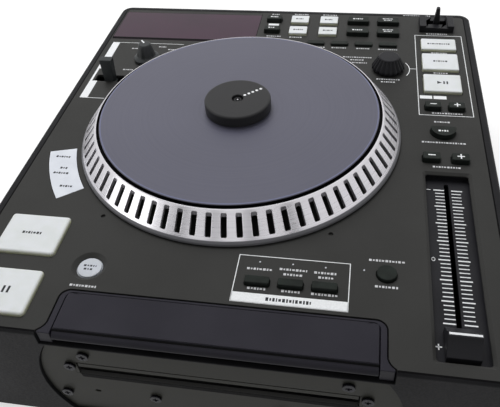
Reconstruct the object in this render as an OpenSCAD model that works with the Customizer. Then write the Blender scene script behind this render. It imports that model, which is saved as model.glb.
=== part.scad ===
/* [Case] */
// Overall width of the case
body_w = 270; // [266:1:290]
// Overall depth of the case
body_d = 310; // [308:1:326]
// Height of the control panel above the table
panel_z = 82; // [80:1:92]
// Height of the rubber feet
foot_h = 8; // [6:1:10]
// Radius of each foot
foot_r = 11; // [9:1:13]
// Wall thickness of the case
wall_t = 3; // [2.5:0.5:3.5]
// Width of the case rim beside the panel
rim_w = 4.8; // [4.6:0.2:6]
// Width of the case rim in front of the panel
front_rim_w = 1.6; // [1.4:0.2:2.4]
// Radius of the back corners
corner_r = 8; // [6:1:12]
// Radius of the rounded upper edge
edge_r = 2; // [1:0.5:2.5]
// Thickness of the control panel
panel_t = 2; // [1.6:0.2:2.4]
// Thickness of the bottom plate
floor_t = 1.5; // [1:0.5:2]
// Width of the ledge that carries the panel
ledge_w = 3; // [2:0.5:4]

/* [Platter] */
// Outer radius of the platter
platter_r = 95.7; // [92:0.1:98]
// Height of the upright band round the platter
band_h = 4.6; // [3:0.2:6]
// Radial width of the sloping slotted ring
ring_w = 12.1; // [10:0.1:13]
// Rise of the sloping ring
ring_rise = 10.1; // [8:0.1:11]
// Number of slots in the ring
slot_count = 72; // [60:2:80]
// Width of one slot
slot_w = 2.5; // [2:0.1:3]
// Gap round the scratch disc
disc_gap = 0.8; // [0.5:0.1:1.2]
// Thickness of the scratch disc
disc_t = 1.7; // [1.2:0.1:2]
// Radius of the centre hub
hub_r = 19.5; // [17:0.1:23]
// Height of the centre hub
hub_h = 6.9; // [5:0.1:9]
// Radius of the spindle
spindle_r = 3; // [2.5:0.1:3.5]

/* [Front] */
// Width of the raised front insert
insert_w = 152.4; // [148:0.4:160]
// Depth of the raised front insert
insert_d = 25.9; // [24:0.1:28]
// Greatest width of the slot plate
plate_w = 173.6; // [168:0.4:180]
// Height of the slot plate
plate_h = 60; // [56:1:64]
// Radius of the bowed ends of the slot plate
plate_bow_r = 53; // [48:1:60]
// Thickness of the slot plate
plate_t = 3; // [2.4:0.2:3.6]
// Width of the disc slot
disc_slot_w = 130; // [126:1:134]
// Height of the disc slot
disc_slot_h = 4.8; // [4.6:0.2:5.6]
// Depth of the disc slot's middle below the panel
disc_slot_drop = 29; // [27:1:31]

/* [Controls] */
// Travel of the pitch fader
fader_travel = 100; // [80:5:100]
// Width of the fader channel
channel_w = 26.1; // [24:0.1:28]
// Length of the fader channel
channel_l = 121.2; // [120.8:0.2:126]
// Depth of the fader channel
channel_drop = 5; // [4:0.5:6]
// Width of the large square keys
big_w = 32.9; // [28:0.1:34]
// Depth of the large square keys
big_d = 26.4; // [22:0.1:28]
// Height of the pale keys above the panel
pale_rise = 2; // [1.6:0.1:3]
// Height of the dark keys above the panel
dark_rise = 3.2; // [2:0.1:4]
// Height of the flat keys above the panel
flat_rise = 1.6; // [1.2:0.1:2.4]
// Travel of every key
key_travel = 1; // [0.6:0.1:1]
// Radius of the encoder knob at its foot
encoder_r = 11; // [9:0.5:12]
// Height of the encoder knob
encoder_h = 8.5; // [7:0.5:12]
// Radius of the volume knob's skirt
volume_r = 9; // [8:0.5:10]
// Height of the volume knob
volume_h = 12.6; // [10:0.1:15]
// Height of the toggle lever above the panel
toggle_h = 15; // [12:0.5:17]
// Height of the source slider above the panel
slider_h = 15.5; // [12:0.5:17]

/* [Hidden] */
$fn = 32;

// Colours of the quick view
case_tone = [0.22, 0.22, 0.23];
panel_tone = [0.27, 0.27, 0.26];
trim_tone = [0.12, 0.12, 0.13];
plate_tone = [0.33, 0.33, 0.31];
pale_tone = [0.9, 0.91, 0.92];
metal_tone = [0.78, 0.78, 0.79];
disc_tone = [0.42, 0.43, 0.48];
board_tone = [0.12, 0.35, 0.22];

// Clearances
run_gap = 0.1;
side_gap = 0.3;
seat_gap = 0.2;
lift_gap = 0.3;
groove_w = 0.5;
cut = 1;

// Rear sockets stand out behind the case
jack_out = 8;
jack_r = 4.15;
jack_hole_r = 1.6;
jack_base_r = 6;
jack_pitch = 20;
mini_jack_r = 1.8;
mini_jack_l = 12;

// Edges of the case, with the whole object centred on the origin
front_y = -(body_d + jack_out) / 2;
back_y = front_y + body_d;
side_x = body_w / 2;
panel_x = side_x - rim_w;
panel_front_y = front_y + front_rim_w;
panel_back_y = back_y - rim_w;
panel_under_z = panel_z - panel_t;
ledge_t = 2;
front_corner_r = 3;

// Platter stack, counted up from the panel
platter_x = -0.04593 * body_w;
platter_y = front_y + 0.50161 * body_d;
platter_lift = 0.6;
platter_wall_t = 2.4;
deck_t = 3;
deck_drop = 1.3;
rim_flat = 0.6;
band_top_z = panel_z + platter_lift + band_h;
ring_top_z = band_top_z + ring_rise;
ring_in_r = platter_r - ring_w;
deck_z = ring_top_z - deck_drop;
ring_t = 2.6;
slot_in = 1.5;
slot_out = 1.9;
slot_in_r = ring_in_r + slot_in;
slot_out_r = platter_r - slot_out;
mat_t = 0.8;
mat_in = 1.2;
disc_r = ring_in_r - rim_flat - disc_gap;
mat_r = disc_r - mat_in;
disc_z = deck_z + mat_t + seat_gap;
disc_top_z = disc_z + disc_t;
disc_hole_r = 8;
hub_top_z = disc_top_z + hub_h;
hub_edge_r = 1.4;
hub_dish_r = 4;
hub_dish_d = 2.2;
spindle_drop = 1;
spindle_top_z = hub_top_z - spindle_drop;
boss_r = 12;
spindle_edge = 1;
motor_r = 32;
motor_h = 14;
collar_r = 9;
collar_rise = 1;
collar_top_z = panel_z + collar_rise;
spindle_foot_l = 9;
spindle_foot_z = panel_under_z - spindle_foot_l;

// Front insert and slot plate
insert_r = 5;
flare_w = 3.4;
flare_d = 6.5;
flare_r = 6.5;
insert_bevel_w = 3.5;
insert_bevel_h = 0.9;
insert_nose_r = 3.5;
insert_nose_in = 0.6;
insert_nose_under = 1.6;
insert_step = 0.4;
insert_h = 8;
insert_lip_h = 6;
insert_lip_d = 4;
insert_back_y = front_y + insert_d;
nose_step_in = 3.6;
nose_step_y = front_y + nose_step_in;
plate_drop = 9.5;
plate_top_z = panel_z - plate_drop;
plate_mid_z = plate_top_z - plate_h / 2;
plate_face_in = 1.6;
plate_y = front_y + plate_face_in;
slot_z = panel_z - disc_slot_drop;
recess_side = 3.5;
recess_rise = 2.3;
recess_w = disc_slot_w + 2 * recess_side;
recess_h = disc_slot_h + 2 * recess_rise;
recess_d = 1.6;
slot_step = 1;
pin_hole_w = 3;
pin_hole_h = 1.6;
pin_hole_r = 0.75;
pin_hole_x = 61.5;
pin_hole_drop = 20.5;
pin_hole_z = slot_z - pin_hole_drop;

// Screws of the slot plate, mirrored left and right
screw_head_r = 2.9;
screw_head_h = 1.4;
screw_tip = 0.6;
screw_r = 1.4;
drive_slot_w = 0.8;
screw_l = plate_t + screw_tip;
screw_spots = [[61.4, 12], [70.4, 1.8], [78.4, -24], [31.2, -20.3]];
mount_screw_r = 1.2;
mount_screw_out = 4.7;
mount_screw_angle = 53;
foot_in = 27;
foot_edge = 1.5;

// Disc drive behind the slot
drive_w = 150;
drive_d = 148;
drive_gap = 6;
drive_wall_t = 2;
drive_front_y = front_y + drive_gap;
drive_below = 13;
drive_above = 7;
drive_floor_z = slot_z - drive_below;
drive_top_z = slot_z + drive_above;
cover_t = 1.5;
drive_post_r = 5;
drive_post_in = 14;
turntable_in = 74;
turntable_y = front_y + turntable_in;
turntable_r = 14;
turntable_drop = 3.4;
turntable_top_z = slot_z - turntable_drop;
turntable_cone_r = 7;
turntable_cone_h = 0.8;
turntable_boss_r = 9;
turntable_boss_h = 2;
turntable_pin_r = 1.5;
roller_r = 3.6;
roller_pin_r = 1.5;
roller_l = 120;
roller_in = 11;
roller_y = front_y + roller_in;
roller_drop = 2.6;
roller_z = slot_z - roller_drop - roller_r;

// Fader
fader_x = 0.39926 * body_w;
channel_in = 7.2;
channel_y = front_y + channel_in + channel_l / 2;
channel_end_y = channel_y + channel_l / 2;
free_d = back_y - channel_end_y;
channel_r = 1.5;
channel_bevel = 1.6;
channel_bevel_h = 1.2;
tray_t = 1.5;
tray_floor_z = panel_z - channel_drop;
fader_slot_w = 2.4;
fader_slot_r = 1.15;
fader_stem_w = fader_slot_w - 2 * side_gap;
fader_stem_d = 6;
fader_stem_h = 4;
fader_cap_w = 14.6;
fader_cap_d = 15.6;
fader_end_gap = 0.3;
fader_plus_y = channel_end_y - channel_bevel - fader_end_gap - fader_cap_d / 2 - fader_travel;
fader_zero_y = fader_plus_y + fader_travel / 2;
fader_top_w = 2.4;
fader_rise = 6;
fader_shoulder_drop = 0.8;
fader_top_z = panel_z + fader_rise;
fader_shoulder_z = panel_z - fader_shoulder_drop;
fader_step_w = 5.2;
fader_step_rise = 3.6;
fader_step_z = panel_z + fader_step_rise;
fader_slot_end = 2;
fader_slot_l = fader_travel + fader_stem_d + 2 * fader_slot_end;

// Key shape
lip_w = 1.2;
lip_t = 1;
lip_gap = 0.15;
key_edge = 0.5;
plunger_r = 1.6;
board_drop = 6;
board_z = panel_under_z - board_drop;
board_t = 1.6;
plunger_gap = key_travel + 0.3;
post_r = 2;
board_edge = 9;
thin = 0.01;

// Columns of controls, as shares of the case's width from its middle
big_x = -0.38889 * body_w;
eject_x = -0.25333 * body_w;
volume_x = -0.34556 * body_w;
slider_x = -0.41556 * body_w;
flip_x = -0.03444 * body_w;
mode_x = 0.11667 * body_w;
mode_pitch = 0.05889 * body_w;
column_x = 0.28037 * body_w;
column_pitch = 0.08074 * body_w;
flat_pitch = 0.06296 * body_w;
track_x = 0.40815 * body_w;
track_bend_half = 0.0263 * body_w;
bend_half = 0.02926 * body_w;
toggle_x = 0.40704 * body_w;
hop_x = column_x - column_pitch;
loop_two_x = hop_x - column_pitch;
loop_one_x = loop_two_x - column_pitch;

// Rows of controls, as shares of the case's depth from its front
play_y = front_y + 0.06806 * body_d;
mode_y = front_y + 0.13097 * body_d;
eject_y = front_y + 0.13258 * body_d;
range_y = front_y + 0.16774 * body_d;
cue_y = front_y + 0.18645 * body_d;
slider_y = front_y + 0.6629 * body_d;
volume_y = front_y + 0.74645 * body_d;
encoder_y = front_y + 0.7432 * body_d;
flat_y = front_y + 0.84226 * body_d;
row_two_y = front_y + 0.8929 * body_d;
row_one_y = front_y + 0.94581 * body_d;

// Rows above the fader, as shares of the depth that its channel leaves
bend_y = channel_end_y + 0.05727 * free_d;
tap_y = channel_end_y + 0.18172 * free_d;
track_bend_y = channel_end_y + 0.3293 * free_d;
track_play_y = channel_end_y + 0.47054 * free_d;
track_cue_y = channel_end_y + 0.61311 * free_d;
track_mode_y = channel_end_y + 0.73816 * free_d;
toggle_y = channel_end_y + 0.89152 * free_d;

// Sizes of the keys
big_r = 2.6;
track_w = 23.6;
track_mode_d = 14.4;
track_cue_d = 20.2;
track_play_d = 19.8;
track_r = 1;
bend_w = 9.6;
bend_d = 6.2;
bend_r = 1;
tap_w = 14.3;
tap_d = 8.6;
mode_w = 11.8;
mode_d = 4.4;
mode_r = 0.8;
mode_rise = 2.5;
loop_w = 13.2;
loop_d = 10.4;
hop_w = 15.4;
hop_d = 7.6;
flip_w = 11.3;
flip_d = 6.2;
row_r = 0.8;
flat_w = 12;
flat_d = 4.8;
eject_r = 6.1;
eject_dish_r = 8.8;
eject_rise = -1.2;
range_x = column_x;
range_r = 4.7;

// The keys: x, y, width, depth, corner radius, rise
cue_spot = [big_x, cue_y, big_w, big_d, big_r, pale_rise];
play_spot = [big_x, play_y, big_w, big_d, big_r, pale_rise];
track_mode_spot = [track_x, track_mode_y, track_w, track_mode_d, track_r, pale_rise];
track_cue_spot = [track_x, track_cue_y, track_w, track_cue_d, track_r, pale_rise];
track_play_spot = [track_x, track_play_y, track_w, track_play_d, track_r, pale_rise];
track_bend_down_spot = [track_x - track_bend_half, track_bend_y, bend_w, bend_d, bend_r, dark_rise];
track_bend_up_spot = [track_x + track_bend_half, track_bend_y, bend_w, bend_d, bend_r, dark_rise];
bend_down_spot = [fader_x - bend_half, bend_y, bend_w, bend_d, bend_r, dark_rise];
bend_up_spot = [fader_x + bend_half, bend_y, bend_w, bend_d, bend_r, dark_rise];
brake_spot = [mode_x - mode_pitch, mode_y, mode_w, mode_d, mode_r, mode_rise];
reverse_spot = [mode_x, mode_y, mode_w, mode_d, mode_r, mode_rise];
dump_spot = [mode_x + mode_pitch, mode_y, mode_w, mode_d, mode_r, mode_rise];
preset_upper_spot = [column_x, row_one_y, hop_w, hop_d, row_r, dark_rise];
preset_lower_spot = [column_x, row_two_y, hop_w, hop_d, row_r, dark_rise];
hop_upper_spot = [hop_x, row_one_y, hop_w, hop_d, row_r, dark_rise];
hop_lower_spot = [hop_x, row_two_y, hop_w, hop_d, row_r, dark_rise];
loop_in_one_spot = [loop_one_x, row_one_y, loop_w, loop_d, row_r, pale_rise];
loop_in_two_spot = [loop_two_x, row_one_y, loop_w, loop_d, row_r, pale_rise];
loop_out_one_spot = [loop_one_x, row_two_y, loop_w, loop_d, row_r, pale_rise];
loop_out_two_spot = [loop_two_x, row_two_y, loop_w, loop_d, row_r, pale_rise];
flip_upper_spot = [flip_x, row_one_y, flip_w, flip_d, row_r, dark_rise];
flip_lower_spot = [flip_x, row_two_y, flip_w, flip_d, row_r, dark_rise];
time_spot = [column_x - 3 * flat_pitch, flat_y, flat_w, flat_d, row_r, flat_rise];
memo_spot = [column_x - 2 * flat_pitch, flat_y, flat_w, flat_d, row_r, flat_rise];
menu_spot = [column_x - flat_pitch, flat_y, flat_w, flat_d, row_r, flat_rise];
fast_spot = [column_x, flat_y, flat_w, flat_d, row_r, flat_rise];

key_spots = [
  cue_spot, play_spot, track_mode_spot, track_cue_spot, track_play_spot,
  track_bend_down_spot, track_bend_up_spot, bend_down_spot, bend_up_spot,
  brake_spot, reverse_spot, dump_spot, preset_upper_spot, preset_lower_spot,
  hop_upper_spot, hop_lower_spot, loop_in_one_spot, loop_in_two_spot,
  loop_out_one_spot, loop_out_two_spot, flip_upper_spot, flip_lower_spot,
  time_spot, memo_spot, menu_spot, fast_spot
];

// Knobs, toggle and slider
encoder_x = column_x;
encoder_top_r = 6.2;
encoder_lift = key_travel + 0.5;
encoder_foot_h = 2;
encoder_waist_h = 5;
encoder_waist_in = 2.8;
encoder_shoulder = 0.6;
encoder_flutes = 14;
flute_r = 1.2;
flute_out = 0.3;
shaft_r = 3;
sleeve_r = 4.6;
sleeve_gap = key_travel + 0.3;
volume_lift = 0.8;
volume_skirt_h = 2.2;
volume_grip_r = 6.8;
volume_top_r = 5.6;
volume_edge = 0.7;
volume_grips = 6;
grip_r = 2;
pot_r = 8;

bezel_w = 24;
bezel_d = 17;
bezel_h = 3.4;
cheek_w = 4.6;
cheek_h = 3;
bezel_slot_w = 14;
bezel_slot_d = 5;
bezel_neck_w = 20;
bezel_neck_d = 12;
bezel_neck_h = 6;
lever_w = 4.4;
lever_tip_w = 2.4;
lever_t = 3.4;
lever_pin_r = 1.2;
lever_pin_l = 8.6;
lever_pivot_z = panel_z - 3.6;
lever_foot = 2;

slider_w = 9.4;
slider_d = 7;
slider_top_d = 5.4;
slider_foot_h = 1;
slider_slot_w = 21;
slider_slot_d = slider_d + 2 * side_gap;

// Windows in the panel
window_t = 1.2;
window_in = 1.3;
window_left_x = -panel_x + window_in;
window_right_x = -0.07481 * body_w;
window_front_y = front_y + 0.83645 * body_d;
window_back_y = panel_back_y - window_in;
window_r = 1.5;
left_room = panel_x + platter_x - platter_r;
arc_in_r = platter_r + 0.149 * left_room;
arc_out_r = arc_in_r + 0.724 * left_room;
arc_start = 195.5;
arc_end = 217.4;

// Power inlet and switch at the back
inlet_x = -0.35185 * body_w;
inlet_rise = 24;
inlet_z = foot_h + inlet_rise;
inlet_w = 24.2;
inlet_h = 16.6;
inlet_d = 16;
inlet_wall = 1.6;
inlet_flange_w = 30;
inlet_flange_h = 22;
inlet_flange_t = 1.4;
inlet_pin_w = 2;
inlet_pin_h = 4;
inlet_pin_pitch = 7;
inlet_pin_l = 8.5;
inlet_pin_z = 1.6;
inlet_earth_z = 2.6;
rocker_pitch = 33;
rocker_x = inlet_x + rocker_pitch;
rocker_w = 12;
rocker_h = 19;
rocker_out = 1.6;
rocker_tilt = 7;
rocker_gap = 0.5;
rocker_pivot_in = 1.5;
rocker_pivot_y = back_y - rocker_pivot_in;
rocker_back = 3.5;
rocker_pin_r = 0.9;
rocker_pin_out = 1.5;
socket_x = 20;
socket_rise = 26;
socket_z = foot_h + socket_rise;
socket_plate_w = 92;
socket_plate_h = 18;
socket_body_d = 10;
socket_count = 3;
mini_jack_x = socket_x + 2 * jack_pitch;
jack_hole_l = 9;
jack_ring_out = 0.8;

// A flat rectangle with round corners, centred
module rounded_rect(w, d, r) {
  square([w - 2 * r, d], center = true);
  square([w, d - 2 * r], center = true);
  for (sx = [-1, 1]) for (sy = [-1, 1]) {
    translate([sx * (w / 2 - r), sy * (d / 2 - r)]) circle(r = r);
  }
}

// Plan of the case, shrunk by an inset; the front corners are tighter than the back ones
module case_plan(inset) {
  w = body_w - 2 * inset;
  back_r = max(corner_r - inset, 1);
  near_r = max(front_corner_r - inset, 1);
  hull() {
    for (s = [-1, 1]) {
      translate([s * (w / 2 - back_r), back_y - inset - back_r]) circle(r = back_r);
      translate([s * (w / 2 - near_r), front_y + inset + near_r]) circle(r = near_r);
    }
  }
}

// Plan of the front insert, grown by the groove; its front corners flare outwards
module insert_plan(grow) {
  w = insert_w + 2 * grow;
  d = insert_d + grow + cut;
  r = insert_r + grow;
  back = insert_back_y + grow;
  difference() {
    union() {
      translate([0, back - d / 2]) rounded_rect(w, d, r);
      translate([-w / 2, front_y - cut]) square([w, d - 2 * r]);
      translate([-w / 2 - flare_w, front_y - cut]) square([w + 2 * flare_w, flare_d + cut]);
    }
    for (s = [-1, 1]) {
      translate([s * (w / 2 + flare_r), front_y + front_rim_w + flare_r]) circle(r = flare_r);
    }
  }
}

// Plan of the control panel, with its cut for the front insert
module panel_plan(shrink) {
  difference() {
    translate([0, (panel_front_y + panel_back_y) / 2])
      rounded_rect(2 * (panel_x - shrink), panel_back_y - panel_front_y - 2 * shrink,
                   corner_r - rim_w + seat_gap);
    insert_plan(groove_w);
  }
}

// Outline of the slot plate in x and z, grown by a gap; both ends bow outwards
module plate_outline(grow) {
  bow_x = plate_w / 2 - plate_bow_r;
  intersection() {
    square([plate_w + 2 * grow, plate_h + 2 * grow], center = true);
    union() {
      square([2 * bow_x, 2 * plate_h], center = true);
      for (s = [-1, 1]) translate([s * bow_x, 0]) circle(r = plate_bow_r + grow, $fn = 96);
    }
  }
}

// Sets an outline in x and z at the front, its face at y and its depth to the back
module face_front(y, z, depth) {
  translate([0, y + depth, z]) rotate([90, 0, 0]) linear_extrude(depth) children();
}

// A round pin along y, from y towards the back
module pin_y(x, y, z, r, l) {
  translate([x, y, z]) rotate([-90, 0, 0]) cylinder(r = r, h = l);
}

// A round pin along x, centred
module pin_x(x, y, z, r, l) {
  translate([x, y, z]) rotate([0, 90, 0]) cylinder(r = r, h = l, center = true);
}

// A box from its low corner to its high corner
module box(low, high) {
  translate(low) cube(high - low);
}

// Upright plate with round corners, centred on x and y, from z up
module slab(x, y, z, w, d, r, h) {
  translate([x, y, z]) linear_extrude(h) rounded_rect(w, d, r);
}

// Hole in the panel for one square key
module key_hole(spot) {
  slab(spot[0], spot[1], panel_under_z - cut, spot[2] + 2 * side_gap, spot[3] + 2 * side_gap,
       spot[4] + side_gap, panel_t + 2 * cut);
}

// A square key: bevelled cap, lip below the panel and plunger above the board
module push_key(spot) {
  top_z = panel_z + spot[5];
  lip_z = panel_under_z - lip_gap - lip_t;
  foot_z = board_z + plunger_gap;
  slab(spot[0], spot[1], lip_z, spot[2], spot[3], spot[4], top_z - key_edge - lip_z);
  hull() {
    slab(spot[0], spot[1], top_z - key_edge - thin, spot[2], spot[3], spot[4], thin);
    slab(spot[0], spot[1], top_z - thin, spot[2] - 2 * key_edge, spot[3] - 2 * key_edge,
         spot[4], thin);
  }
  slab(spot[0], spot[1], lip_z, spot[2] + 2 * lip_w, spot[3] + 2 * lip_w, spot[4], lip_t);
  translate([spot[0], spot[1], foot_z]) cylinder(r = plunger_r, h = lip_z - foot_z + lip_t / 2);
}

// A round key, revolved, with the same lip and plunger
module round_key(x, y, r, rise) {
  top_z = panel_z + rise;
  lip_z = panel_under_z - lip_gap - lip_t;
  foot_z = board_z + plunger_gap;
  translate([x, y, 0]) rotate_extrude() polygon([
    [0, foot_z], [plunger_r, foot_z], [plunger_r, lip_z], [r + lip_w, lip_z],
    [r + lip_w, lip_z + lip_t], [r, lip_z + lip_t], [r, top_z - key_edge],
    [r - key_edge, top_z], [0, top_z]
  ]);
}

// Plan of the tap key: straight far edge, round near edge
module tap_plan(grow) {
  r = tap_w / 2 + grow;
  middle = (tap_w - tap_d) / 2;
  intersection() {
    translate([0, middle]) circle(r = r);
    translate([-r, middle - 2 * r]) square(2 * r);
  }
  translate([-r, middle]) square([2 * r, tap_d / 2 + grow - middle]);
}

// Case: outer shell, open below and above, with a ledge under the panel
module case_shell() {
  color(case_tone) difference() {
    hull() {
      translate([0, 0, foot_h]) linear_extrude(panel_z - edge_r - foot_h) case_plan(0);
      for (a = [30, 60, 90]) {
        translate([0, 0, panel_z - edge_r + edge_r * sin(a) - thin])
          linear_extrude(thin) case_plan(edge_r - edge_r * cos(a));
      }
    }
    translate([0, 0, foot_h - cut])
      linear_extrude(panel_under_z - ledge_t - foot_h + cut) case_plan(wall_t);
    translate([0, 0, panel_under_z - ledge_t - cut])
      linear_extrude(panel_t + ledge_t + 2 * cut) case_plan(rim_w + ledge_w);
    translate([0, 0, panel_under_z]) linear_extrude(panel_t + cut)
      translate([0, (panel_front_y + panel_back_y) / 2])
        rounded_rect(2 * panel_x + 2 * seat_gap, panel_back_y - panel_front_y + 2 * seat_gap,
                     corner_r - rim_w + seat_gap);
    translate([0, 0, panel_z - insert_h - lift_gap]) linear_extrude(insert_h + cut)
      insert_plan(groove_w);
    slab(fader_x, channel_y, tray_floor_z - tray_t - seat_gap, channel_w + tray_t + 2 * seat_gap,
         channel_l + tray_t + 2 * seat_gap, channel_r, channel_drop + tray_t);
    slab(big_x, play_y, panel_under_z - ledge_t - cut, big_w + 2 * lip_w + 2 * side_gap,
         big_d + 2 * lip_w + 2 * side_gap, big_r, ledge_t + 2 * cut);
    face_front(front_y - cut, plate_mid_z, wall_t + 2 * cut) plate_outline(seat_gap);
    pin_x(rocker_x, rocker_pivot_y, inlet_z, rocker_pin_r + run_gap,
          rocker_w + 2 * rocker_pin_out + 2 * side_gap);
    box([inlet_x - inlet_w / 2 - inlet_wall - seat_gap, back_y - wall_t - cut,
         inlet_z - inlet_h / 2 - inlet_wall - seat_gap],
        [inlet_x + inlet_w / 2 + inlet_wall + seat_gap, back_y + cut,
         inlet_z + inlet_h / 2 + inlet_wall + seat_gap]);
    box([rocker_x - rocker_w / 2 - rocker_gap, back_y - wall_t - cut,
         inlet_z - rocker_h / 2 - rocker_gap],
        [rocker_x + rocker_w / 2 + rocker_gap, back_y + cut,
         inlet_z + rocker_h / 2 + rocker_gap]);
    for (i = [0 : socket_count - 1]) {
      pin_y(socket_x + (i - 1) * jack_pitch, back_y - wall_t - cut, socket_z,
            jack_base_r + seat_gap, wall_t + 2 * cut);
    }
    pin_y(mini_jack_x, back_y - wall_t - cut, socket_z, jack_base_r + seat_gap,
          wall_t + 2 * cut);
  }
}

// Flat part of a ring between two angles, round the platter's axis
module ring_sector(r_in, r_out, from, to, grow) {
  far = 2 * r_out;
  translate([platter_x, platter_y]) intersection() {
    difference() {
      circle(r = r_out + grow, $fn = 96);
      circle(r = r_in - grow, $fn = 96);
    }
    polygon([[0, 0], [far * cos(from), far * sin(from)], [far * cos(to), far * sin(to)]]);
  }
}

// Bottom plate, inside the case walls
module bottom_plate() {
  color(case_tone) translate([0, 0, foot_h]) linear_extrude(floor_t) case_plan(wall_t + seat_gap);
}

// Control panel with a hole for each control
module top_panel() {
  color(panel_tone) difference() {
    translate([0, 0, panel_under_z]) linear_extrude(panel_t) panel_plan(0);
    for (spot = key_spots) key_hole(spot);
    translate([fader_x, tap_y, panel_under_z - cut]) linear_extrude(panel_t + 2 * cut)
      tap_plan(side_gap);
    translate([eject_x, eject_y, panel_under_z])
      cylinder(r1 = eject_r + side_gap, r2 = eject_dish_r, h = panel_t);
    translate([range_x, range_y, panel_under_z - cut])
      cylinder(r = range_r + side_gap, h = panel_t + 2 * cut);
    slab(fader_x, channel_y, panel_under_z - cut, channel_w - 2 * channel_bevel,
         channel_l - 2 * channel_bevel, channel_r, panel_t + 2 * cut);
    hull() {
      slab(fader_x, channel_y, panel_z - channel_bevel_h, channel_w - 2 * channel_bevel,
           channel_l - 2 * channel_bevel, channel_r, thin);
      slab(fader_x, channel_y, panel_z, channel_w, channel_l, channel_r, thin);
    }
    translate([platter_x, platter_y, panel_under_z - cut])
      cylinder(r = collar_r + side_gap, h = panel_t + 2 * cut);
    for (side = [-1, 1]) {
      translate([platter_x + side * (platter_r + mount_screw_out) * cos(mount_screw_angle),
                 platter_y - (platter_r + mount_screw_out) * sin(mount_screw_angle),
                 panel_z - window_t]) cylinder(r = mount_screw_r, h = panel_t);
    }
    translate([encoder_x, encoder_y, panel_under_z - cut])
      cylinder(r = shaft_r + side_gap, h = panel_t + 2 * cut);
    translate([volume_x, volume_y, panel_under_z - cut])
      cylinder(r = shaft_r + side_gap, h = panel_t + 2 * cut);
    slab(toggle_x, toggle_y, panel_under_z - cut, bezel_neck_w + 2 * seat_gap,
         bezel_neck_d + 2 * seat_gap, row_r, panel_t + 2 * cut);
    slab(slider_x, slider_y, panel_under_z - cut, slider_slot_w, slider_slot_d, row_r,
         panel_t + 2 * cut);
    window_block(seat_gap, panel_t);
    translate([0, 0, panel_z - window_t]) linear_extrude(panel_t)
      ring_sector(arc_in_r, arc_out_r, arc_start, arc_end, seat_gap);
  }
}

// Block of the display window, grown by a gap, from its seat up
module window_block(grow, h) {
  slab((window_left_x + window_right_x) / 2, (window_front_y + window_back_y) / 2,
       panel_z - window_t, window_right_x - window_left_x + 2 * grow,
       window_back_y - window_front_y + 2 * grow, window_r, h);
}

// Smoked window over the display
module display_window() {
  color(trim_tone) window_block(0, window_t);
}

// Pale lit window beside the platter
module arc_window() {
  color(pale_tone) translate([0, 0, panel_z - window_t]) linear_extrude(window_t)
    ring_sector(arc_in_r, arc_out_r, arc_start, arc_end, 0);
}

// Raised block at the middle of the front edge, with a bevel and a rounded nose
module front_insert() {
  base_z = panel_z - insert_h;
  nose_y = front_y + insert_nose_in;
  color(trim_tone) intersection() {
    union() {
      translate([0, 0, base_z]) linear_extrude(insert_h - insert_bevel_h) insert_plan(0);
      hull() {
        translate([0, 0, panel_z - insert_bevel_h - thin]) linear_extrude(thin)
          translate([0, insert_back_y - insert_d / 2]) rounded_rect(insert_w, insert_d, insert_r);
        translate([0, 0, panel_z - thin]) linear_extrude(thin)
          translate([0, insert_back_y - insert_d / 2])
            rounded_rect(insert_w - 2 * insert_bevel_w, insert_d - 2 * insert_bevel_h, insert_r);
      }
    }
    rotate([90, 0, 90]) translate([0, 0, -body_w / 2]) linear_extrude(body_w) polygon([
      [insert_back_y + cut, base_z],
      [front_y + insert_lip_d, base_z],
      [front_y + insert_nose_under, panel_z - insert_lip_h],
      for (a = [0 : 15 : 90])
        [nose_y + insert_nose_r * (1 - cos(a)),
         panel_z - insert_bevel_h - insert_nose_r * (1 - sin(a))],
      [nose_step_y, panel_z - insert_bevel_h],
      [nose_step_y + insert_step, panel_z + cut],
      [insert_back_y + cut, panel_z + cut]
    ]);
  }
}

// Metal plate round the disc slot, with the slot's sloping mouth and its screw holes
module slot_plate() {
  color(plate_tone) difference() {
    face_front(plate_y, plate_mid_z, plate_t) plate_outline(0);
    face_front(plate_y - cut, slot_z, plate_t + 2 * cut)
      rounded_rect(disc_slot_w, disc_slot_h, channel_r);
    hull() {
      face_front(plate_y - thin, slot_z, thin) rounded_rect(recess_w, recess_h, channel_r);
      face_front(plate_y + recess_d, slot_z, thin)
        rounded_rect(disc_slot_w, disc_slot_h + slot_step, channel_r);
    }
    for (spot = screw_spots) for (side = [-1, 1]) {
      pin_y(side * spot[0], plate_y - cut, slot_z + spot[1], screw_r + run_gap,
            plate_t + 2 * cut);
    }
    translate([-pin_hole_x, 0, 0]) face_front(plate_y - cut, pin_hole_z, plate_t + 2 * cut)
      rounded_rect(pin_hole_w, pin_hole_h, pin_hole_r);
  }
}

// Pan head screws of the slot plate, each with its drive recess
module screws() {
  color(case_tone) for (spot = screw_spots) for (side = [-1, 1]) {
    difference() {
      union() {
        pin_y(side * spot[0], plate_y, slot_z + spot[1], screw_r, screw_l);
        pin_y(side * spot[0], plate_y - screw_head_h, slot_z + spot[1], screw_head_r,
              screw_head_h);
      }
      for (turn = [0, 90]) {
        translate([side * spot[0], plate_y - screw_head_h, slot_z + spot[1]])
          rotate([0, turn, 0]) cube([2 * screw_r, screw_head_h, drive_slot_w], center = true);
      }
    }
  }
}

// Sunken tray of the pitch fader
module fader_tray() {
  low_z = tray_floor_z - tray_t;
  color(trim_tone) difference() {
    slab(fader_x, channel_y, low_z, channel_w + tray_t, channel_l + tray_t, channel_r,
         panel_under_z - low_z);
    slab(fader_x, channel_y, tray_floor_z, channel_w - tray_t, channel_l - tray_t, channel_r,
         channel_drop);
    slab(fader_x, fader_zero_y, low_z - cut, fader_slot_w, fader_slot_l, fader_slot_r,
         tray_t + 2 * cut);
  }
}

// One board, reaching past the control nearest each of its corners
module board(x_low, y_low, x_high, y_high) {
  box([x_low - board_edge, y_low - board_edge, board_z - board_t],
      [x_high + board_edge, y_high + board_edge, board_z]);
}

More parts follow.
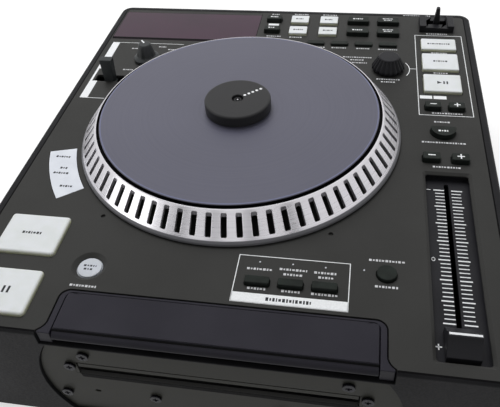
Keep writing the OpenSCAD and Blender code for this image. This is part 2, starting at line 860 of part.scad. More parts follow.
// Boards under the keys, hung from the panel on posts, with the volume control's housing
module control_board() {
  post_h = panel_under_z - board_z;
  mid_row_y = (row_one_y + row_two_y) / 2;
  mode_post_x = mode_x - mode_pitch - mode_w / 2 - lip_w - side_gap - post_r;
  flip_post_x = (flip_x + flip_w / 2 + loop_one_x - loop_w / 2) / 2;
  track_post_x = track_x - track_w / 2 - lip_w - side_gap - post_r;
  upper_post_y = (track_mode_y - track_mode_d / 2 + track_cue_y + track_cue_d / 2) / 2;
  lower_post_y = (track_play_y - track_play_d / 2 + track_bend_y + bend_d / 2) / 2;
  color(board_tone) difference() {
    union() {
      board(flip_x, flat_y, toggle_x, row_one_y);
      board(encoder_x, encoder_y, track_x, flat_y);
      board(fader_x - bend_half, bend_y, track_x + track_bend_half, encoder_y);
      board(mode_post_x, mode_y, range_x, range_y);
      board(big_x, play_y, eject_x, cue_y);
      board(slider_x, slider_y, volume_x, volume_y);
      for (at = [
        [flip_post_x, mid_row_y], [(column_x + toggle_x) / 2, mid_row_y],
        [(encoder_x + track_x) / 2, encoder_y], [track_post_x, upper_post_y],
        [track_x, lower_post_y], [fader_x, (tap_y + bend_y) / 2],
        [mode_post_x, mode_y], [(dump_spot[0] + range_x) / 2, mode_y],
        [big_x, (cue_y + play_y) / 2], [eject_x, cue_y], [slider_x, volume_y]
      ]) {
        translate([at[0], at[1], board_z]) cylinder(r = post_r, h = post_h);
      }
      translate([volume_x, volume_y, board_z]) cylinder(r = pot_r, h = post_h);
    }
    translate([volume_x, volume_y, board_z - board_t - cut])
      cylinder(r = shaft_r + run_gap, h = post_h + board_t + 2 * cut);
  }
}

// Lower half of the disc drive, on posts from the bottom plate
module drive_base() {
  back = drive_front_y + drive_d;
  half = drive_w / 2;
  color(metal_tone) difference() {
    union() {
      box([-half, drive_front_y, drive_floor_z], [half, back, drive_floor_z + drive_wall_t]);
      box([-half, drive_front_y, drive_floor_z], [-half + drive_wall_t, back, drive_top_z]);
      box([half - drive_wall_t, drive_front_y, drive_floor_z], [half, back, drive_top_z]);
      box([-half, back - drive_wall_t, drive_floor_z], [half, back, drive_top_z]);
      for (sx = [-1, 1]) for (y = [drive_front_y + drive_post_in, back - drive_post_in]) {
        translate([sx * (half - drive_post_in), y, foot_h + floor_t])
          cylinder(r = drive_post_r, h = drive_floor_z - foot_h - floor_t);
      }
      translate([0, turntable_y, drive_floor_z + drive_wall_t])
        cylinder(r = turntable_boss_r, h = turntable_boss_h);
    }
    translate([-half - cut, roller_y, roller_z]) rotate([0, 90, 0])
      cylinder(r = roller_pin_r + run_gap, h = drive_w + 2 * cut);
    translate([0, turntable_y, drive_floor_z - cut])
      cylinder(r = turntable_pin_r + run_gap, h = drive_wall_t + turntable_boss_h + 2 * cut);
  }
}

// Upper plate of the disc drive
module drive_cover() {
  color(metal_tone) box([-drive_w / 2, drive_front_y, drive_top_z],
                        [drive_w / 2, drive_front_y + drive_d, drive_top_z + cover_t]);
}

// Rubber roller that draws the disc in
module feed_roller() {
  color(trim_tone) translate([0, roller_y, roller_z]) rotate([0, 90, 0]) {
    cylinder(r = roller_r, h = roller_l, center = true);
    cylinder(r = roller_pin_r, h = drive_w, center = true);
  }
}

// Turntable that carries the disc by its centre
module disc_turntable() {
  boss_z = drive_floor_z + drive_wall_t + turntable_boss_h;
  color(metal_tone) translate([0, turntable_y, 0]) rotate_extrude() polygon([
    [0, drive_floor_z + seat_gap], [turntable_pin_r, drive_floor_z + seat_gap],
    [turntable_pin_r, boss_z + lift_gap], [turntable_r, boss_z + lift_gap],
    [turntable_r, turntable_top_z], [turntable_cone_r, turntable_top_z],
    [turntable_cone_r - turntable_cone_h, turntable_top_z + turntable_cone_h],
    [0, turntable_top_z + turntable_cone_h]
  ]);
}

// Housing of the platter motor, with the collar that guides the spindle
module platter_motor() {
  color(case_tone) translate([platter_x, platter_y, 0]) rotate_extrude() polygon([
    [0, panel_under_z - motor_h], [motor_r, panel_under_z - motor_h],
    [motor_r, panel_under_z], [collar_r, panel_under_z], [collar_r, collar_top_z],
    [spindle_r + run_gap, collar_top_z], [spindle_r + run_gap, spindle_foot_z - lift_gap],
    [0, spindle_foot_z - lift_gap]
  ]);
}

// Rubber feet
module feet() {
  color(trim_tone) for (sx = [-1, 1]) for (y = [front_y + foot_in, back_y - foot_in]) {
    translate([sx * (side_x - foot_in), y, 0]) rotate_extrude() polygon([
      [0, 0], [foot_r - foot_edge, 0], [foot_r, foot_edge], [foot_r, foot_h], [0, foot_h]
    ]);
  }
}

// Guard block round the toggle lever
module toggle_bezel() {
  color(trim_tone) difference() {
    union() {
      slab(toggle_x, toggle_y, panel_z, bezel_w, bezel_d, row_r, bezel_h);
      for (side = [-1, 1]) {
        slab(toggle_x + side * (bezel_w - cheek_w) / 2, toggle_y, panel_z, cheek_w, bezel_d,
             row_r, bezel_h + cheek_h);
      }
      slab(toggle_x, toggle_y, panel_z - bezel_neck_h, bezel_neck_w, bezel_neck_d, row_r,
           bezel_neck_h);
    }
    slab(toggle_x, toggle_y, panel_z - bezel_neck_h - cut, bezel_slot_w, bezel_slot_d, row_r,
         bezel_neck_h + bezel_h + 2 * cut);
    pin_y(toggle_x, toggle_y - lever_pin_l / 2 - seat_gap, lever_pivot_z, lever_pin_r + run_gap,
          lever_pin_l + 2 * seat_gap);
  }
}

// Toggle lever on its cross pin
module toggle_lever() {
  color(trim_tone) {
    translate([toggle_x, toggle_y + lever_t / 2, 0]) rotate([90, 0, 0]) linear_extrude(lever_t)
      polygon([
        [-lever_w / 2, lever_pivot_z - lever_foot], [lever_w / 2, lever_pivot_z - lever_foot],
        [lever_w / 2, panel_z + bezel_h], [lever_tip_w / 2, panel_z + toggle_h],
        [-lever_tip_w / 2, panel_z + toggle_h], [-lever_w / 2, panel_z + bezel_h]
      ]);
    pin_y(toggle_x, toggle_y - lever_pin_l / 2, lever_pivot_z, lever_pin_r, lever_pin_l);
  }
}

// Line out and digital sockets with one small jack
module rear_sockets() {
  wall_y = back_y - wall_t;
  color(trim_tone) difference() {
    union() {
      box([socket_x + jack_pitch / 2 - socket_plate_w / 2, wall_y - socket_body_d,
           socket_z - socket_plate_h / 2],
          [socket_x + jack_pitch / 2 + socket_plate_w / 2, wall_y,
           socket_z + socket_plate_h / 2]);
      for (i = [0 : socket_count]) {
        pin_y(socket_x + (i - 1) * jack_pitch, wall_y, socket_z, jack_base_r,
              wall_t + jack_ring_out);
      }
      for (i = [0 : socket_count - 1]) {
        pin_y(socket_x + (i - 1) * jack_pitch, wall_y, socket_z, jack_r, wall_t + jack_out);
      }
    }
    for (i = [0 : socket_count - 1]) {
      pin_y(socket_x + (i - 1) * jack_pitch, back_y + jack_out - jack_hole_l, socket_z,
            jack_hole_r, jack_hole_l + cut);
    }
    pin_y(mini_jack_x, back_y + jack_ring_out - mini_jack_l, socket_z, mini_jack_r,
          mini_jack_l + cut);
  }
}

// Mains socket: flange, cavity and three blades; no cord
module mains_inlet() {
  floor_y = back_y - inlet_d;
  color(trim_tone) {
    difference() {
      union() {
        translate([inlet_x, 0, 0]) face_front(floor_y, inlet_z, inlet_d)
          rounded_rect(inlet_w + 2 * inlet_wall, inlet_h + 2 * inlet_wall, channel_r);
        translate([inlet_x, 0, 0]) face_front(back_y, inlet_z, inlet_flange_t)
          rounded_rect(inlet_flange_w, inlet_flange_h, channel_r);
      }
      translate([inlet_x, 0, 0]) face_front(floor_y + inlet_wall, inlet_z, inlet_d + cut)
        rounded_rect(inlet_w, inlet_h, channel_r);
    }
    for (at = [[-inlet_pin_pitch, -inlet_pin_z], [inlet_pin_pitch, -inlet_pin_z],
               [0, inlet_earth_z]]) {
      translate([inlet_x + at[0], floor_y + inlet_wall + inlet_pin_l / 2, inlet_z + at[1]])
        cube([inlet_pin_w, inlet_pin_l, inlet_pin_h], center = true);
    }
  }
}

// Platter: upright band, sloping slotted ring, deck and spindle in one turned piece
module platter() {
  band_z = panel_z + platter_lift;
  slope = ring_rise / ring_w;
  wall_in_r = platter_r - platter_wall_t;
  wall_top_z = band_top_z + platter_wall_t * slope - ring_t;
  under_z = deck_z - deck_t;
  under_r = wall_in_r - (under_z - wall_top_z) / slope;
  color(metal_tone) translate([platter_x, platter_y, 0]) difference() {
    rotate_extrude($fn = 96) polygon([
      [0, spindle_foot_z], [spindle_r, spindle_foot_z],
      [spindle_r, collar_top_z + lift_gap], [boss_r, collar_top_z + lift_gap],
      [boss_r, under_z], [under_r, under_z], [wall_in_r, wall_top_z], [wall_in_r, band_z],
      [platter_r, band_z], [platter_r, band_top_z], [ring_in_r, ring_top_z],
      [ring_in_r - rim_flat, ring_top_z], [ring_in_r - rim_flat, deck_z],
      [spindle_r, deck_z], [spindle_r, spindle_top_z - spindle_edge],
      [spindle_r - spindle_edge, spindle_top_z],
      [0, spindle_top_z]
    ]);
    translate([0, 0, band_z]) linear_extrude(ring_top_z - band_z + cut)
      for (i = [0 : slot_count - 1]) rotate(i * 360 / slot_count) {
        translate([slot_in_r + slot_w / 2, -slot_w / 2])
          square([slot_out_r - slot_in_r - slot_w, slot_w]);
        translate([slot_in_r + slot_w / 2, 0]) circle(d = slot_w, $fn = 16);
        translate([slot_out_r - slot_w / 2, 0]) circle(d = slot_w, $fn = 16);
      }
  }
}

// Thin mat between the platter and the scratch disc
module slip_mat() {
  color(trim_tone) translate([platter_x, platter_y, deck_z]) difference() {
    cylinder(r = mat_r, h = mat_t, $fn = 96);
    translate([0, 0, -cut]) cylinder(r = spindle_r + seat_gap, h = mat_t + 2 * cut);
  }
}

// Scratch disc
module scratch_disc() {
  color(disc_tone) translate([platter_x, platter_y, disc_z]) difference() {
    cylinder(r = disc_r, h = disc_t, $fn = 96);
    translate([0, 0, -cut]) cylinder(r = disc_hole_r + seat_gap, h = disc_t + 2 * cut);
  }
}

// Centre hub with a rounded edge, a dished bore and a spigot through the disc
module hub_cap() {
  color(trim_tone) translate([platter_x, platter_y, 0]) rotate_extrude($fn = 64) polygon([
    [spindle_r + run_gap, disc_z + run_gap], [disc_hole_r, disc_z + run_gap],
    [disc_hole_r, disc_top_z], [hub_r, disc_top_z],
    for (a = [0 : 30 : 90])
      [hub_r - hub_edge_r * (1 - cos(a)), hub_top_z - hub_edge_r * (1 - sin(a))],
    [hub_dish_r, hub_top_z], [hub_dish_r, hub_top_z - hub_dish_d],
    [spindle_r + run_gap, hub_top_z - hub_dish_d]
  ]);
}

// Cap and stem of the pitch fader, at the plus end of its travel
module pitch_fader() {
  base_z = tray_floor_z + lift_gap;
  half = fader_cap_d / 2;
  color(trim_tone) translate([fader_x, fader_plus_y, 0]) {
    rotate([90, 0, 90]) translate([0, 0, -fader_cap_w / 2]) linear_extrude(fader_cap_w)
      polygon([
        [-half, base_z], [half, base_z], [half, fader_shoulder_z],
        [fader_step_w / 2, fader_step_z], [fader_top_w / 2, fader_top_z],
        [-fader_top_w / 2, fader_top_z], [-fader_step_w / 2, fader_step_z],
        [-half, fader_shoulder_z]
      ]);
    box([-fader_stem_w / 2, -fader_stem_d / 2, base_z - fader_stem_h],
        [fader_stem_w / 2, fader_stem_d / 2, base_z + lift_gap]);
  }
}

// Tall slider with a lip below the panel
module source_slider() {
  lip_z = panel_under_z - lip_gap - lip_t;
  color(trim_tone) {
    translate([slider_x - slider_w / 2, slider_y, 0]) rotate([90, 0, 90])
      linear_extrude(slider_w) polygon([
        [-slider_d / 2, lip_z], [slider_d / 2, lip_z], [slider_d / 2, panel_z + slider_foot_h],
        [slider_top_d / 2, panel_z + slider_h], [-slider_top_d / 2, panel_z + slider_h],
        [-slider_d / 2, panel_z + slider_foot_h]
      ]);
    slab(slider_x, slider_y, lip_z, slider_w + 2 * lip_w, slider_slot_d + 2 * lip_w, row_r, lip_t);
  }
}

// Volume knob: skirt, tapered grip with scallops and shaft
module volume_knob() {
  foot_z = board_z + lift_gap;
  low_z = panel_z + volume_lift;
  skirt_z = low_z + volume_skirt_h;
  top_z = panel_z + volume_h;
  color(trim_tone) translate([volume_x, volume_y, 0]) difference() {
    rotate_extrude() polygon([
      [0, foot_z], [shaft_r, foot_z], [shaft_r, low_z], [volume_r, low_z],
      [volume_r, skirt_z - volume_edge], [volume_r - volume_edge, skirt_z],
      [volume_grip_r, skirt_z + volume_edge], [volume_top_r, top_z - volume_edge],
      [volume_top_r - volume_edge, top_z], [0, top_z]
    ]);
    for (i = [0 : volume_grips - 1]) rotate((i + 0.5) * 360 / volume_grips)
      translate([volume_grip_r + grip_r - volume_edge, 0, skirt_z + volume_edge])
        cylinder(r = grip_r, h = volume_h);
  }
}

// Sleeve that the encoder's shaft turns in; it moves down with the knob
module encoder_sleeve() {
  low_z = board_z + sleeve_gap;
  color(metal_tone) translate([encoder_x, encoder_y, low_z]) difference() {
    cylinder(r = sleeve_r, h = panel_under_z - lip_gap - low_z);
    translate([0, 0, -cut]) cylinder(r = shaft_r + run_gap, h = board_drop + 2 * cut);
  }
}

// Encoder knob: flared and fluted, narrowing to a flat top
module encoder_knob() {
  foot_z = board_z + sleeve_gap;
  low_z = panel_z + encoder_lift;
  top_z = low_z + encoder_h;
  color(trim_tone) translate([encoder_x, encoder_y, 0]) difference() {
    rotate_extrude() polygon([
      [0, foot_z], [shaft_r, foot_z], [shaft_r, low_z], [encoder_r, low_z],
      [encoder_r, low_z + encoder_foot_h], [encoder_r - encoder_waist_in, low_z + encoder_waist_h],
      [encoder_top_r + encoder_shoulder, top_z - encoder_shoulder], [encoder_top_r, top_z],
      [0, top_z]
    ]);
    for (i = [0 : encoder_flutes - 1]) rotate(i * 360 / encoder_flutes)
      translate([encoder_r + flute_out, 0, low_z - cut])
        cylinder(r = flute_r, h = encoder_h + 2 * cut);
  }
}

// Power rocker on its two side pins, resting with its lower end out
module power_rocker() {
  half = rocker_h / 2;
  rim = rocker_pivot_in + rocker_out;
  color(trim_tone) {
    translate([rocker_x - rocker_w / 2, rocker_pivot_y, inlet_z]) rotate([rocker_tilt, 0, 0])
      rotate([90, 0, 90]) linear_extrude(rocker_w) polygon([
        [-rocker_back, -half / 2], [0, -half], [rim, -half], [rim - rocker_out / 2, 0],
        [rim, half], [0, half], [-rocker_back, half / 2]
      ]);
    pin_x(rocker_x, rocker_pivot_y, inlet_z, rocker_pin_r, rocker_w + 2 * rocker_pin_out);
  }
}

// Tap key: one straight and one round edge
module tap_key() {
  top_z = panel_z + dark_rise;
  lip_z = panel_under_z - lip_gap - lip_t;
  foot_z = board_z + plunger_gap;
  color(trim_tone) translate([fader_x, tap_y, 0]) {
    translate([0, 0, lip_z]) linear_extrude(top_z - key_edge - lip_z) tap_plan(0);
    hull() {
      translate([0, 0, top_z - key_edge - thin]) linear_extrude(thin) tap_plan(0);
      translate([0, 0, top_z - thin]) linear_extrude(thin) tap_plan(-key_edge);
    }
    translate([0, 0, lip_z]) linear_extrude(lip_t) tap_plan(lip_w);
    translate([0, 0, foot_z]) cylinder(r = plunger_r, h = lip_z - foot_z + lip_t / 2);
  }
}

module eject_key() { color(pale_tone) round_key(eject_x, eject_y, eject_r, eject_rise); }
module range_key() { color(trim_tone) round_key(range_x, range_y, range_r, pale_rise); }
module cue_key() { color(pale_tone) push_key(cue_spot); }
module play_key() { color(pale_tone) push_key(play_spot); }
module track_mode_key() { color(pale_tone) push_key(track_mode_spot); }
module track_cue_key() { color(pale_tone) push_key(track_cue_spot); }
module track_play_key() { color(pale_tone) push_key(track_play_spot); }
module track_bend_down_key() { color(trim_tone) push_key(track_bend_down_spot); }
module track_bend_up_key() { color(trim_tone) push_key(track_bend_up_spot); }
module bend_down_key() { color(trim_tone) push_key(bend_down_spot); }
module bend_up_key() { color(trim_tone) push_key(bend_up_spot); }
module brake_key() { color(trim_tone) push_key(brake_spot); }
module reverse_key() { color(trim_tone) push_key(reverse_spot); }
module dump_key() { color(trim_tone) push_key(dump_spot); }
module flip_upper_key() { color(trim_tone) push_key(flip_upper_spot); }
module flip_lower_key() { color(trim_tone) push_key(flip_lower_spot); }
module loop_in_one_key() { color(pale_tone) push_key(loop_in_one_spot); }
module loop_in_two_key() { color(pale_tone) push_key(loop_in_two_spot); }
module loop_out_one_key() { color(pale_tone) push_key(loop_out_one_spot); }
module loop_out_two_key() { color(pale_tone) push_key(loop_out_two_spot); }
module hop_upper_key() { color(trim_tone) push_key(hop_upper_spot); }
module hop_lower_key() { color(trim_tone) push_key(hop_lower_spot); }
module preset_upper_key() { color(trim_tone) push_key(preset_upper_spot); }
module preset_lower_key() { color(trim_tone) push_key(preset_lower_spot); }
module time_key() { color(trim_tone) push_key(time_spot); }
module memo_key() { color(trim_tone) push_key(memo_spot); }
module menu_key() { color(trim_tone) push_key(menu_spot); }
module fast_key() { color(trim_tone) push_key(fast_spot); }

case_shell();
bottom_plate();
top_panel();
front_insert();
slot_plate();
fader_tray();
display_window();
arc_window();
control_board();
drive_base();
drive_cover();
platter_motor();
feet();
screws();
toggle_bezel();
rear_sockets();
mains_inlet();
platter();
slip_mat();
scratch_disc();
hub_cap();
pitch_fader();
source_slider();
volume_knob();
encoder_sleeve();
encoder_knob();
toggle_lever();
power_rocker();
feed_roller();
disc_turntable();
eject_key();
cue_key();
play_key();
track_mode_key();
track_cue_key();
track_play_key();
track_bend_down_key();
track_bend_up_key();
tap_key();
bend_down_key();
bend_up_key();
range_key();
brake_key();
reverse_key();
dump_key();
flip_upper_key();
flip_lower_key();
loop_in_one_key();
loop_in_two_key();
loop_out_one_key();
loop_out_two_key();
hop_upper_key();
hop_lower_key();
preset_upper_key();
preset_lower_key();
time_key();
memo_key();
menu_key();
fast_key();
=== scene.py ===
# Finishes, prints and softened pieces of a tabletop disc player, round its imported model
import math

import bmesh
import bpy
from mathutils import Matrix, Vector


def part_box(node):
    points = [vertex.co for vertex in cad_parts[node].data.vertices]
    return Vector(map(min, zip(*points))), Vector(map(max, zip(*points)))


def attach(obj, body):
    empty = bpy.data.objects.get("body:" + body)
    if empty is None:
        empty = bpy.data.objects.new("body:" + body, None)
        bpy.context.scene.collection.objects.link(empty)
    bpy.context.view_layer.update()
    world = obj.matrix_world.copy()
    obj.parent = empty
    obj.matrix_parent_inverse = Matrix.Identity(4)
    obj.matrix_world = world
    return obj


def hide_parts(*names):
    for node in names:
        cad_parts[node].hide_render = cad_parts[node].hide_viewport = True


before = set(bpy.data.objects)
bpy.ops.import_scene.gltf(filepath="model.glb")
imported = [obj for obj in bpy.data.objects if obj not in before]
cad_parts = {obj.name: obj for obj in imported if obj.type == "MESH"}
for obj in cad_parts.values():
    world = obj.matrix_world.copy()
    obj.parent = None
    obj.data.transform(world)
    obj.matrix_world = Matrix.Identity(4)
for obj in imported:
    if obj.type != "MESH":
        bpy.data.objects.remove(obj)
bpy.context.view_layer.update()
scene = bpy.context.scene
mm = 0.001
panelTop = 82.0  # height of the control panel, in mm
platterAxis = (-12.4, -3.5)
inkThick = 0.04
overprint = 0.001  # lifts one print over another that it crosses
creaseAngle = 38  # faces that meet at more than this many degrees keep a sharp edge
materials = {}


def linear(hexCode):
    parts = [int(hexCode[i:i + 2], 16) / 255 for i in (1, 3, 5)]
    return tuple(p / 12.92 if p <= 0.04045 else ((p + 0.055) / 1.055) ** 2.4 for p in parts) + (1.0,)


def addNode(tree, kind, settings=None, inputs=None):
    # Settings may hold a colour ramp's stops, as pairs of a place and a colour
    node = tree.nodes.new(kind)
    for name, value in (settings or {}).items():
        if name == "stops":
            for element, (position, colour) in zip(node.color_ramp.elements, value):
                element.position, element.color = position, linear(colour)
        else:
            setattr(node, name, value)
    for name, value in (inputs or {}).items():
        if isinstance(value, bpy.types.NodeSocket):
            tree.links.new(value, node.inputs[name])
        else:
            node.inputs[name].default_value = value
    return node


def startMaterial(name, roughness, metallic=0.0, ior=1.5, shine=0.5):
    # An empty material with its fixed values; returns its tree, shader and Object coordinates
    material = bpy.data.materials.new(name)
    material.use_nodes = True
    tree = material.node_tree
    shader = tree.nodes["Principled BSDF"]
    shader.inputs["Roughness"].default_value = roughness
    shader.inputs["Metallic"].default_value = metallic
    shader.inputs["IOR"].default_value = ior
    shader.inputs["Specular IOR Level"].default_value = shine
    materials[name] = material
    return tree, shader, addNode(tree, "ShaderNodeTexCoord").outputs["Object"]


def dress(tree, shader, tones, gloss, relief, band=(0.35, 0.65)):
    # Lays patterns on a shader. tones: pattern, dark and light colour, which the band parts; gloss: pattern,
    # least and most roughness; relief: pattern and its depth in mm
    pattern, dark, light = tones
    stops = (band[0], dark), (band[1], light)
    ramp = addNode(tree, "ShaderNodeValToRGB", {"stops": stops}, {"Fac": pattern})
    tree.links.new(ramp.outputs["Color"], shader.inputs["Base Color"])
    if gloss:
        pattern, least, most = gloss
        ranged = addNode(tree, "ShaderNodeMapRange", inputs={
            "Value": pattern, "From Min": 0.3, "From Max": 0.7, "To Min": least, "To Max": most})
        tree.links.new(ranged.outputs["Result"], shader.inputs["Roughness"])
    pattern, depth = relief
    bump = addNode(tree, "ShaderNodeBump", inputs={
        "Height": pattern, "Distance": depth * mm, "Strength": 1.0})
    tree.links.new(bump.outputs["Normal"], shader.inputs["Normal"])


def mouldedPlastic(name, dark, light, gloss, grain=0.7, depth=0.02, patch=35, shine=0.2):
    # Moulded ABS: soft patches of two close tones under the grain that a spark-eroded mould leaves.
    # The real grain is about 0.1 mm and is drawn several times coarser, so that it shows. Its pits keep
    # most of the surface from shining, which a shine below the usual 0.5 stands for.
    tree, shader, place = startMaterial(name, gloss[0], ior=1.49, shine=shine)
    patches = addNode(tree, "ShaderNodeTexNoise", inputs={
        "Vector": place, "Scale": 1 / (patch * mm), "Detail": 3.0}).outputs["Fac"]
    grains = addNode(tree, "ShaderNodeTexNoise", inputs={
        "Vector": place, "Scale": 1 / (grain * mm), "Detail": 2.0}).outputs["Fac"]
    dress(tree, shader, (patches, dark, light), (grains, *gloss), (grains, depth))


def brushedMetal(name, dark, light, gloss, stretch, metallic=1.0, line=0.5, depth=0.012, shine=0.5):
    # Sheet metal with fine brush lines along one axis; stretch is how long they are along x, y and z
    tree, shader, place = startMaterial(name, gloss[0], metallic, shine=shine)
    drawn = addNode(tree, "ShaderNodeMapping", inputs={
        "Vector": place, "Scale": tuple(1 / s for s in stretch)}).outputs["Vector"]
    lines = addNode(tree, "ShaderNodeTexNoise", inputs={
        "Vector": drawn, "Scale": 1 / (line * mm), "Detail": 3.0, "Roughness": 0.6}).outputs["Fac"]
    dress(tree, shader, (lines, dark, light), (lines, *gloss), (lines, depth), (0.3, 0.7))


def turned(name, dark, light, gloss, line, depth, metallic=0.0, ior=1.5, patch=30, shine=0.5, stretch=0.0):
    # A face cut or pressed in circles round the platter's axis: tone, gloss and height follow the distance
    tree, shader, place = startMaterial(name, gloss[0], metallic, ior, shine)
    centred = addNode(tree, "ShaderNodeMapping", inputs={
        "Vector": place, "Location": (-platterAxis[0] * mm, -platterAxis[1] * mm, 0)}).outputs["Vector"]
    away = addNode(tree, "ShaderNodeVectorMath", {"operation": "MULTIPLY"}, {
        0: centred, 1: (1, 1, 0)}).outputs[0]
    distance = addNode(tree, "ShaderNodeVectorMath", {"operation": "LENGTH"}, {0: away}).outputs["Value"]
    lines = addNode(tree, "ShaderNodeTexNoise", {"noise_dimensions": "1D"}, {
        "W": distance, "Scale": 1 / (line * mm), "Detail": 3.0, "Roughness": 0.7}).outputs["Fac"]
    patches = addNode(tree, "ShaderNodeTexNoise", inputs={
        "Vector": centred, "Scale": 1 / (patch * mm), "Detail": 3.0}).outputs["Fac"]
    both = addNode(tree, "ShaderNodeMath", {"operation": "ADD"}, {0: lines, 1: patches}).outputs[0]
    half = addNode(tree, "ShaderNodeMath", {"operation": "MULTIPLY"}, {0: both, 1: 0.5}).outputs[0]
    dress(tree, shader, (half, dark, light), (half, *gloss), (lines, depth))
    if stretch:
        # Grooves run round the axis, so they spread the shine along the line away from it
        tangent = addNode(tree, "ShaderNodeVectorTransform", {
            "vector_type": "VECTOR", "convert_from": "OBJECT", "convert_to": "WORLD"}, {"Vector": away})
        shader.inputs["Anisotropic"].default_value = stretch
        tree.links.new(tangent.outputs["Vector"], shader.inputs["Tangent"])


def milkyKey(name, low, high, sideShadeTone, topTone):
    # Lit key caps of milky polycarbonate: white on top, and darker and creamier lower down by height, which
    # is painted shade and a painted glow of light coming through the sides
    tree, shader, place = startMaterial(name, 0.34, ior=1.55)
    height = addNode(tree, "ShaderNodeSeparateXYZ", inputs={"Vector": place}).outputs["Z"]
    up = addNode(tree, "ShaderNodeMapRange", inputs={
        "Value": height, "From Min": (panelTop + low) * mm, "From Max": (panelTop + high) * mm})
    heightShade = addNode(tree, "ShaderNodeValToRGB", {"stops": ((0.15, sideShadeTone), (0.95, topTone))}, {
        "Fac": up.outputs["Result"]})
    grains = addNode(tree, "ShaderNodeTexNoise", inputs={
        "Vector": place, "Scale": 1 / (0.8 * mm), "Detail": 2.0}).outputs["Fac"]
    clouds = addNode(tree, "ShaderNodeTexNoise", inputs={
        "Vector": place, "Scale": 1 / (9 * mm), "Detail": 3.0}).outputs["Fac"]
    dress(tree, shader, (clouds, "#f7f8f5", "#ffffff"), (grains, 0.3, 0.4), (grains, 0.01))
    cloudy = shader.inputs["Base Color"].links[0].from_socket
    mixed = addNode(tree, "ShaderNodeMix", {"data_type": "RGBA", "blend_type": "MULTIPLY"}, {
        "Factor": 1.0, "A": heightShade.outputs["Color"], "B": cloudy})
    tree.links.new(mixed.outputs["Result"], shader.inputs["Base Color"])
    shader.inputs["Subsurface Weight"].default_value = 0.15
    shader.inputs["Subsurface Radius"].default_value = (0.004, 0.004, 0.003)
    shader.inputs["Subsurface Scale"].default_value = 1.0


def smokedAcrylic():
    # Smoked acrylic over an unlit display: glossy, warm brown, a little paler where dust scatters light
    tree, shader, place = startMaterial("smokedAcrylic", 0.12, ior=1.49, shine=0.31)
    haze = addNode(tree, "ShaderNodeTexNoise", inputs={
        "Vector": place, "Scale": 1 / (45 * mm), "Detail": 3.0}).outputs["Fac"]
    ripples = addNode(tree, "ShaderNodeTexNoise", inputs={
        "Vector": place, "Scale": 1 / (12 * mm), "Detail": 1.0}).outputs["Fac"]
    dress(tree, shader, (haze, "#2b0b24", "#35102c"), (haze, 0.1, 0.2), (ripples, 0.01))


def printedInk(name, dark, light):
    # Screen-printed ink: matt, with the slight mottling of a mesh screen
    tree, shader, place = startMaterial(name, 0.6, ior=1.45)
    mottle = addNode(tree, "ShaderNodeTexNoise", inputs={
        "Vector": place, "Scale": 1 / (0.9 * mm), "Detail": 2.0}).outputs["Fac"]
    dress(tree, shader, (mottle, dark, light), (mottle, 0.55, 0.68), (mottle, 0.005))


def feltMat():
    # Pressed felt: short fibres that catch light at a low angle
    tree, shader, place = startMaterial("pressedFelt", 0.95)
    fibres = addNode(tree, "ShaderNodeTexNoise", inputs={
        "Vector": place, "Scale": 1 / (0.8 * mm), "Detail": 4.0, "Roughness": 0.7}).outputs["Fac"]
    dress(tree, shader, (fibres, "#17171a", "#2b2b2e"), None, (fibres, 0.08))
    shader.inputs["Sheen Weight"].default_value = 0.3
    shader.inputs["Sheen Roughness"].default_value = 0.5


def circuitBoard():
    # Glass-fibre board under dark green solder mask, with the weave just visible
    tree, shader, place = startMaterial("solderMask", 0.3)
    weave = addNode(tree, "ShaderNodeTexVoronoi", inputs={
        "Vector": place, "Scale": 1 / (1.2 * mm)}).outputs["Distance"]
    dress(tree, shader, (weave, "#0f2416", "#132c1c"), None, (weave, 0.02))


